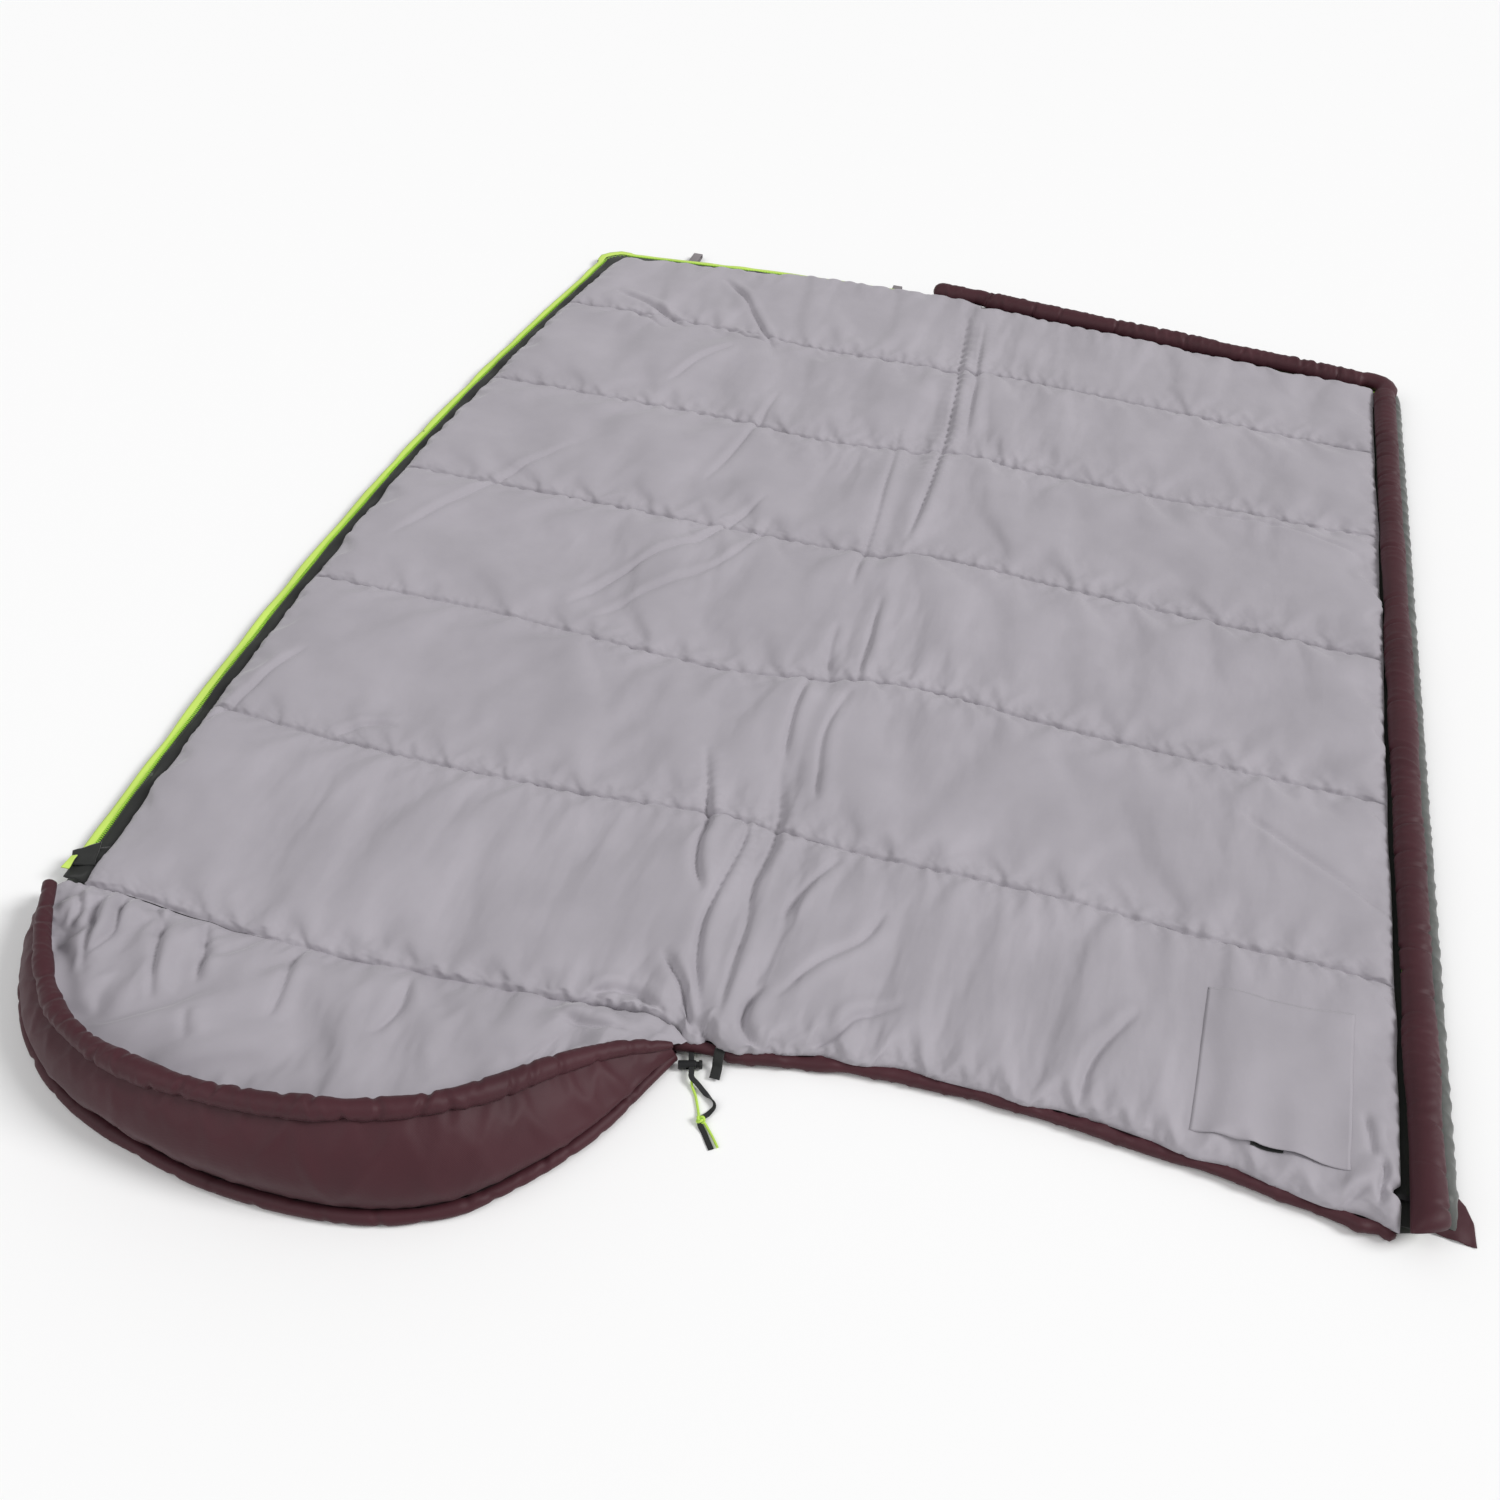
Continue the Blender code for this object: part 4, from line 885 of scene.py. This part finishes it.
def left_shell_edge():
    """The under half's shell, turned up outside the lime binding."""
    line = left_edge()
    side = -outward(line)
    section = even([(0.036, 0.0022), (0.0415, 0.003), (SHELL_OUT, 0.008), (0.041, 0.0125), (0.03, 0.012),
                    (-0.004, 0.0115)], 11)
    base = swept(line, side * mitre(line, side)[:, None], section)
    along = np.arange(len(line)) * EDGE_STEP
    base[..., 2] += 0.001 * lumps(along / 0.03, 2, 37)
    base[..., 2] = np.maximum(base[..., 2], 0.0012)
    edge = grid_mesh("shell_edge_left", base, "shell_fabric", flip=True)
    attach(edge, "under_half")


LOOP_X, LOOP_HALF_WIDTH = {"left": -0.62, "right": -0.186}, 0.009


def foot_loops():
    """The two webbing loops, from inside the under half's foot seam out to their fold."""
    for side, x in LOOP_X.items():
        inside = float(along_x(UNDER_FOOT, x)) + 0.03
        profile = [(inside, 0.01), (1.02, 0.0108), (1.0256, 0.0095), (1.0266, 0.007), (1.0256, 0.0045),
                   (1.02, 0.0034), (inside, 0.0034)]
        line = spline([(x, y, z) for y, z in profile], 40)
        across = np.linspace(-LOOP_HALF_WIDTH, LOOP_HALF_WIDTH, 5)
        grid = np.stack([line + np.array([a, 0, 0]) for a in across])
        piece = grid_mesh(f"webbing_loop_{side}", grid, "grey_webbing", 0.0012)
        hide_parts(f"foot_loop_{side}")
        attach(piece, "under_half")


# ---- stuffed tubes

def tube_grid(centres, side, width, height, around=32, start=-0.62):
    """A tube's points: an oval round each centre. side holds the unit vectors across it, in the plan."""
    centres, side = np.asarray(centres, float), np.asarray(side, float)
    if side.shape[1] == 2:
        side = np.concatenate([side, np.zeros((len(side), 1))], axis=1)
    along = directions(centres)
    top = np.cross(side, along)
    top *= np.sign(top[:, 2:] + 1e-9)
    angle = np.linspace(start * math.pi, (start + 2) * math.pi, around + 1)
    wide, high = width[:, None], height[:, None]
    return np.stack([centres + side * (math.cos(a) * wide) + top * (math.sin(a) * high) for a in angle])


def pinched(grid, centres, step, seed, gap, depth, width=0.0032):
    """The tube drawn in at slanting rings, gap apart on average."""
    rng = np.random.default_rng(seed)
    along = np.arange(len(centres))[None] * step
    turn = np.linspace(0, 2 * math.pi, len(grid))[:, None]
    size = np.ones(grid.shape[:2])
    place = 0.5 * gap
    while place < along[0, -1] - 0.5 * gap:
        slant = rng.uniform(-0.009, 0.009) * np.cos(turn + rng.uniform(0, 6))
        part = np.clip(0.6 + np.cos(turn + rng.uniform(0, 6)), 0, 1)
        size -= depth * rng.uniform(0.5, 1.2) * part * bell(along + slant - place, width)
        place += gap * rng.uniform(0.5, 1.6)
    return centres[None] + (grid - centres[None]) * size[..., None]


def squared_ends(count, step, length, least=0.25):
    """A share of full size for each point along a tube: it tightens over length at both ends."""
    at = np.arange(count) * step
    distance = np.minimum(at, at[-1] - at)
    return least + (1 - least) * round_rise(distance, length, 0.5)


def draught_tube():
    line = right_edge(-0.098, HEAD - 0.007, TUBE_STEP)
    side = outward(line)
    corner = mitre(line, side)[:, None]
    flat = line + side * corner * TUBE_OUT
    along = np.arange(len(line)) * TUBE_STEP
    past_fold = np.clip(-flat[:, 0] / 0.03, 0, 1)
    z = TUBE_Z - 0.002 * past_fold * past_fold * (3 - 2 * past_fold)
    z = z + 0.0008 * lumps(along / 0.09 + 3, 0, 41)
    wavy = 1 + 0.07 * lumps(along / 0.05 + 5, 0, 42)
    widths = TUBE_HALF_WIDTH * wavy * squared_ends(len(line), TUBE_STEP, 0.004, 0.95)
    heights = TUBE_HALF_HEIGHT * wavy * squared_ends(len(line), TUBE_STEP, 0.012, 0.7)
    z = z - 0.004 * (1 - squared_ends(len(line), TUBE_STEP, 0.012, 0))
    centres = np.column_stack([flat, z])
    base = pinched(tube_grid(centres, side, widths, heights), centres, TUBE_STEP, 45, 0.045, 0.2)
    base[..., 1] += 0.45 * (base[..., 0] - centres[:, 0]) * np.exp(-along / 0.02)
    fixed = held(base)
    row = np.linspace(0, 2 * math.pi, base.shape[0])[:, None]
    ring = lumps(along[None] / 0.05 + 9, row / 4, 43)
    tube = drape(base, fixed, 0.06 + 0.06 * ring, 0.012, 44, steps=(150, 80, 40, 15), shear=0.2, rough=0.006,
                 most=0.008)
    tube = soften(tube, fixed, 2)
    piece = grid_mesh("draught_tube", tube, "maroon_fabric", flip=True)
    weld(piece.data, close=True)
    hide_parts("draught_tube_side_cover", "draught_tube_side_core", "draught_tube_foot_cover",
                "draught_tube_foot_core", "draught_tube_end_cover", "draught_tube_end_core")
    bend_at_fold(piece)


def weld(mesh, close=False):
    """Welds a tube's seam, and closes its open ends if asked."""
    bm = bmesh.new()
    bm.from_mesh(mesh)
    bmesh.ops.remove_doubles(bm, verts=bm.verts, dist=1e-5)
    if close:
        bmesh.ops.holes_fill(bm, edges=[e for e in bm.edges if e.is_boundary])
    bmesh.ops.recalc_face_normals(bm, faces=bm.faces)
    bm.to_mesh(mesh)
    bm.free()


def head_hem():
    x = np.linspace(-0.024, UPPER_SIDE_X + 0.004, 157)
    line = np.stack([x, along_x([(-0.04, HEAD + 0.004), *UPPER_HEAD], x)], axis=1)
    side = outward(line)
    kink = bell(x - 0.715, 0.008) - bell(x - 0.735, 0.006)
    at_lock = bell(x + 0.002, 0.032)
    flat = line + side * (0.0066 + 0.0035 * kink - 0.0085 * at_lock)[:, None]
    z = 0.0085 + 0.0016 * lumps(x / 0.04 + 3, 0, 51) + 0.0025 * at_lock
    swell = 1 + 0.22 * lumps(x / 0.028 + 9, 0, 52) + 0.12 * at_lock
    size = squared_ends(len(x), EDGE_STEP, 0.006, 0.5) * swell
    width, height = HEAD_HEM_HALF_WIDTH * size, HEAD_HEM_HALF_HEIGHT * size
    base = tube_grid(np.column_stack([flat, z]), side, width, height, around=16, start=0.5)
    hem = drape(base, held(base, sides=False), 0.08, 0.02, 53, bend=0.4, rough=0.004, most=0.003)
    hem[..., 2] = np.maximum(hem[..., 2], 0.0006)
    piece = grid_mesh("rolled_head_hem", hem, "maroon_fabric", flip=True)
    weld(piece.data, close=True)
    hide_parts("head_hem")
    bend_at_fold(piece)


# ---- hood

HOOD_COLS = 241


def hood_lines(count=HOOD_COLS):
    """Evenly spaced points along the hood's hem and along the middle of its rim."""
    hem, rim = (even(spline(line, 200), count) for line in (HEM_LINE, RIM_LINE))
    return np.column_stack([hem, np.full(count, 0.0045)]), rim


def rim_size(count=HOOD_COLS):
    """The rim tunnel's share of full size: it thins towards both ends, most at the cord lock."""
    sizes = [(0, 0.62), (0.05, 0.7), (0.15, 0.84), (0.3, 1), (0.86, 1), (0.93, 0.78), (0.98, 0.58), (1, 0.36)]
    return np.interp(np.linspace(0, 1, count), *zip(*sizes))


def hood_outward(hem):
    """Unit vectors away from the hood's middle, in the plan."""
    side = outward(hem[:, :2])
    if side[len(side) // 2, 1] > 0:
        side = -side
    return np.column_stack([side, np.zeros(len(side))])


def sections(points, count):
    """A grid whose columns are curves through the given lines of points, from the first line to the last."""
    lines = np.stack(points)
    curve = [np.array(even(spline(lines[:, k], 60), count)) for k in range(lines.shape[1])]
    return np.stack(curve, axis=1)


def hood_inside():
    hem, rim = hood_lines()
    out = hood_outward(hem)
    u = np.linspace(0, 1, HOOD_COLS)[:, None]
    neck_x = np.interp(u[:, 0], [0, 0.96, 1], [-0.785, -0.038, -0.006])
    neck_z = np.where(neck_x < -0.03, neck_height(neck_x), np.interp(u[:, 0], [0.96, 1], [SEAM_Z, 0.0185]))
    neck = np.column_stack([neck_x, along_x(NECK_LINE, neck_x), neck_z])
    depth = np.linalg.norm(hem[:, :2] - neck[:, :2], axis=1)[:, None]
    near = np.clip(depth / 0.16, 0.12, 1)
    rise = np.array([0, 0, 1.0])
    corner = hem - out * 0.052 * near + rise * 0.02
    foot = hem - out * 0.028 * near + rise * 0.03
    wall = hem - out * 0.016 * near + rise * (0.35 * rim[:, 2:])
    wall2 = (hem * [1, 1, 0] * 0.45 + rim * [1, 1, 0] * 0.55) - out * 0.006 * near + rise * (0.7 * rim[:, 2:])
    inset = np.interp(u, [0.8, 0.9], [1, 0.3])
    top = rim - (out * 0.004 + rise * 0.01 * rim_size()[:, None]) * inset
    closing = np.clip((u - 0.78) / 0.12, 0, 1)
    for share, line in ((0.5, corner), (0.68, foot), (0.84, wall), (0.94, wall2)):
        line += (neck + (top - neck) * share - line) * closing
    quarter, most = neck + (corner - neck) * 0.25, neck + (corner - neck) * 0.7
    quarter[:, 2] = neck_z + 0.012 * near[:, 0]
    most[:, 2] = neck_z + 0.012 * near[:, 0]
    base = sections([neck, quarter, most, corner, foot, wall, wall2, top], 81)
    row = np.linspace(0, 1, 81)[:, None]
    column = u.T
    fixed = held(base) | (row > 0.6) & (column > 0.9)
    loose_x = (0.034 + 0.03 * lumps(column * 14, row * 3, 61) + 0.05 * np.exp(-row / 0.05)
               + 0.04 * np.exp(-(1 - row) / 0.12) + 0.14 * np.exp(-column / 0.1))
    loose_y = 0.012 + 0.012 * lumps(column * 9, row * 4, 62) + 0.05 * np.exp(-column / 0.06)
    loose = [np.maximum(part, least)[:, ::-1] for part, least in ((loose_x, 0.004), (loose_y, 0.002))]
    cloth = drape(base[:, ::-1], fixed, *loose, 63)[:, ::-1].copy()
    cloth = soften(cloth, fixed)
    on_floor = np.clip(row / 0.03, 0, 1) * np.clip((0.6 - row) / 0.2, 0, 1)
    cloth[..., 2] += on_floor * creases(cloth[..., 0], cloth[..., 1], HOOD_CREASES)
    piece = grid_mesh("hood_inside", cloth, "lining_fabric", flip=True)
    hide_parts("hood_floor_lining", "hood_floor_filling", "hood_wall_lining", "hood_wall_filling")
    bend_at_neck(piece)


def hood_outside():
    hem, rim = hood_lines()
    out = hood_outward(hem)
    rise = np.array([0, 0, 1.0])
    height = rim[:, 2:]
    full = np.clip(height / 0.1, 0.2, 1)
    foot = hem - out * 0.009 * full + rise * 0.0085
    low = hem - out * 0.002 * full + rise * (0.006 + 0.2 * height)
    middle = (hem * 0.62 + rim * 0.38) * [1, 1, 0] + out * 0.016 * full + rise * 0.5 * height
    high = (hem * 0.3 + rim * 0.7) * [1, 1, 0] + out * 0.016 * full + rise * 0.76 * height
    inset = np.interp(np.arange(HOOD_COLS), [0.8 * HOOD_COLS, 0.9 * HOOD_COLS], [1, 0.2])[:, None]
    top = rim + (out * 0.003 - rise * 0.004) * inset
    base = sections([foot, low, middle, high, top], 33)
    fixed = held(base)
    row, column = np.linspace(0, 1, 33)[:, None], np.linspace(0, 1, HOOD_COLS)[None]
    loose_x = (0.012 + 0.014 * lumps(column * 10 + 4, row * 2, 71) + 0.045 * np.exp(-(1 - row) / 0.15)
               + 0.025 * np.exp(-row / 0.1))
    cloth = drape(base, fixed, np.maximum(loose_x, 0.003), 0.01, 72, rough=0.006, most=0.009)
    wall = grid_mesh("hood_outside", soften(cloth, fixed, 2), "maroon_fabric")
    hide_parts("hood_wall_shell")
    bend_at_neck(wall)
    neck = np.column_stack([hem[:, 0], np.full(HOOD_COLS, NECK_Y + 0.003), np.full(HOOD_COLS, 0.002)])
    floor = np.linspace(0, 1, 25)[:, None, None] * (hem - neck)[None] + neck[None]
    floor[..., 2] = 0.002 + 0.0008 * lumps(floor[..., 0] / 0.04, floor[..., 1] / 0.04, 73)
    under = grid_mesh("hood_underside", floor, "maroon_fabric")
    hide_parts("hood_floor_shell")
    bend_at_neck(under)


def hood_tubes():
    """The rim's stuffed tunnel, open at its left end, and the piped hem at the floor."""
    hem, rim = hood_lines(545)
    piping = hem - hood_outward(hem) * 0.003 + [0, 0, 0.003]
    for name, centre, radius, around, seed, loose, most, replaced in (
            ("hood_rim_tunnel", rim, RIM_RADIUS, 32, 81, 0.055, 0.008, "hood_rim"),
            ("hood_piped_hem", piping, PIPED_HEM_RADIUS, 16, 84, 0.03, 0.003, "hood_hem")):
        side = hood_outward(centre)
        at = np.arange(len(centre)) * HOOD_STEP
        size = 1 + 0.13 * lumps(at / 0.04 + 3, 0, seed)
        if name == "hood_rim_tunnel":
            size = size * rim_size(len(centre))
        base = tube_grid(centre, side, radius * size, radius * size * 0.96, around=around, start=-0.9)
        base = pinched(base, centre, HOOD_STEP, seed + 5, 0.036, 0.26, 0.0045)
        fixed = held(base, sides=False)
        ring = lumps(at[None] / 0.03 + 9, np.linspace(0, 2, base.shape[0])[:, None], seed + 2)
        cloth = drape(base, fixed, loose * (1 + 0.7 * ring), 0.02, seed + 1,
                      steps=(150, 80, 40, 15), bend=0.8, shear=0.2, rough=0.006, most=most)
        cloth[..., 2] = np.maximum(cloth[..., 2], 0.0006)
        piece = grid_mesh(name, soften(cloth, fixed, 4), "maroon_fabric", 0.0008)
        weld(piece.data)
        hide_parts(replaced)
        bend_at_neck(piece)


# ---- pocket and trim

def height_over(cloth):
    """A function that gives the lining's height at a point of the plan."""
    part = cloth[::2, ::2]
    tree = BVHTree.FromPolygons(part.reshape(-1, 3).tolist(), quads_of(part).tolist())

    def height(x, y):
        hit = tree.ray_cast(Vector((x, y, 0.2)), Vector((0, 0, -1)))[0]
        return hit.z if hit else PAD_Z
    return height


def pocket(height):
    """A patch pocket sewn on three sides: its mouth, towards the head, gapes a little."""
    corners = np.array([[(0.536, -0.946), (0.7, -0.95)], [(0.545, -0.735), (0.707, -0.733)]])
    rows, cols = 61, 49
    t, s = np.meshgrid(np.linspace(0, 1, rows), np.linspace(0, 1, cols), indexing="ij")
    flat = sum(corners[i, j] * ((t if i else 1 - t) * (s if j else 1 - s))[..., None]
               for i in (0, 1) for j in (0, 1))
    on_lining = np.array([[height(*point) for point in line] for line in flat])
    surface = on_lining.copy()
    for _ in range(12):
        surface[1:-1, 1:-1] = np.maximum(surface[1:-1, 1:-1], (surface[1:-1, :-2] + surface[1:-1, 2:]
                                         + surface[:-2, 1:-1] + surface[2:, 1:-1]) / 4)
    inside = np.minimum(np.minimum(s, 1 - s) * 4, 1) * np.minimum((1 - t) * 4, 1)
    gape = np.exp(-t / 0.08) * np.sin(math.pi * s) ** 1.5
    z = on_lining * (1 - inside) + surface * inside
    z = z + 0.0007 + 0.001 * inside + 0.0045 * gape + 0.0006 * lumps(s * 5, t * 6, 91) * inside
    panel = grid_mesh("pocket_panel", np.dstack([flat, z]), "lining_fabric", 0.0006)
    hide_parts("inside_pocket")
    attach(panel, "upper_half")
    t, s = np.meshgrid(np.linspace(-0.949, -0.938, 9), np.linspace(0.598, 0.632, 17), indexing="ij")
    z = np.array([[height(x, y) + 0.0012 for x, y in zip(*line)] for line in zip(s, t)])
    strip = grid_mesh("closure_strip", np.dstack([s, t, z]), "zip_tape", 0.0006)
    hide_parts("pocket_closure")
    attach(strip, "upper_half")


def patch(name, corners, height, slot, seed, look=None):
    """A small creased patch between four corners: two towards the foot, two towards the head."""
    t, s = np.meshgrid(np.linspace(0, 1, 17), np.linspace(0, 1, 13), indexing="ij")
    (a, b), (c, d) = np.array(corners)[..., None, None, :]
    t, s = t[..., None], s[..., None]
    flat = (a * (1 - s) + b * s) * (1 - t) + (c * (1 - s) + d * s) * t
    z = height + 0.0022 * lumps(flat[..., 0] / 0.012 + 90, flat[..., 1] / 0.014 + 90, seed)
    piece = grid_mesh(name, np.dstack([flat, z]), slot, 0.0014, look=look)
    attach(piece, "under_half")
    return piece


def zip_head_end():
    """The folded black patch over the left zip's head end, and the lime end of its coil."""
    under_corners = [[(-0.803, -0.932), (-0.772, -0.915)], [(-0.797, -0.977), (-0.756, -0.979)]]
    top_corners = [[(-0.807, -0.94), (-0.783, -0.916)], [(-0.797, -0.96), (-0.77, -0.952)]]
    lime_corners = [[(-0.802, -0.949), (-0.795, -0.947)], [(-0.803, -0.97), (-0.794, -0.968)]]
    lower = patch("garage_under_layer", under_corners, 0.0175, "zip_tape", 96)
    upper = patch("garage_top_layer", top_corners, 0.0215, "zip_tape", 97)
    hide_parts("zip_garage")
    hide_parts("zip_garage")
    # the coil's lime end, drawn in the paler lime of the painted highlight
    stub = patch("lime_coil_end", lime_corners, 0.0235, "lime_coil", 98, look="lime_painted_highlight")
    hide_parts("lime_end_tab")


def hanging_tab():
    """The black tab, from under the lining over the hem and down."""
    profile = [(-0.983, 0.0152), (-0.9905, 0.0156), (-0.9968, 0.0125), (-1.0005, 0.006), (-1.008, 0.004),
               (-1.015, 0.0036)]
    line = spline([(0.03 + 0.003 * i / 5, y, z) for i, (y, z) in enumerate(profile)], 25)
    grid = np.stack([line + np.array([across, 0, 0]) for across in np.linspace(-0.0058, 0.0058, 5)])
    piece = grid_mesh("hanging_tab_cloth", grid, "zip_tape", 0.0012, flip=True)
    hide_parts("hanging_tab")
    bend_at_fold(piece)


def flap():
    """The maroon flap at the upper half's head corner: doubled cloth, creased."""
    rows, cols = 25, 19
    outer = even([(0.792, -0.975), (0.814, -0.978), (0.835, -0.98), (0.8335, -0.952), (0.826, -0.932),
                  (0.81, -0.915)], rows)
    inner = np.stack([np.linspace(0.786, 0.806, rows), np.linspace(-0.971, -0.915, rows)], axis=1)
    share = np.linspace(0, 1, cols)[None, :, None]
    flat = inner[:, None] * (1 - share) + outer[:, None] * share
    z = np.interp(share[0, :, 0], [0, 0.35, 1], [0.012, 0.006, 0.0022])[None] + np.zeros((rows, 1))
    z = z + 0.0016 * lumps(flat[..., 0] / 0.012, flat[..., 1] / 0.014, 95)
    piece = grid_mesh("corner_flap_cloth", np.dstack([flat, np.maximum(z, 0.0012)]),
                      "maroon_fabric", 0.001)
    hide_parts("corner_flap")
    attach(piece, "corner_flap")


# ---- room

def room():
    scene = bpy.context.scene
    mesh = bpy.data.meshes.new("floor")
    mesh.from_pydata([(-30, -30, 0), (30, -30, 0), (30, 30, 0), (-30, 30, 0)], [], [(0, 1, 2, 3)])
    floor = new_object("floor", mesh)
    paint, _, _, shader = new_material("floor_paint", (0.92, 0.92, 0.92), 0.9)
    mesh.materials.append(paint)
    world = bpy.data.worlds.new("studio")
    scene.world = world
    world.use_nodes = True
    world.node_tree.nodes["Background"].inputs["Color"].default_value = (1, 1, 1, 1)
    world.node_tree.nodes["Background"].inputs["Strength"].default_value = 0.42
    suns = ("key", (2.6, 0.4, 2.2), 2.1, 22), ("fill", (-2.0, -2.0, 3.0), 0.9, 50)
    for name, place, strength, spread in suns:
        light = bpy.data.lights.new(name, "SUN")
        light.energy = strength
        light.angle = math.radians(spread)
        item = new_object(name, light)
        item.rotation_euler = Vector(place).to_track_quat("Z", "Y").to_euler()
    scene.view_settings.view_transform = "Standard"


def paint_cad():
    """The CAD pieces that stay in view take the looks of their slots."""
    slots = {part["node"]: part["material_slot"] for part in frame["record"]["subparts"]}
    for name, node in frame["nodes"].items():
        node.data.materials.clear()
        node.data.materials.append(LOOKS[slots[name]])


cloth = lining()
left_zip()
left_shell_edge()
foot_loops()
shell()
draught_tube()
head_hem()
hood_inside()
hood_outside()
hood_tubes()
pocket(height_over(cloth))
zip_head_end()
hanging_tab()
flap()
paint_cad()
room()
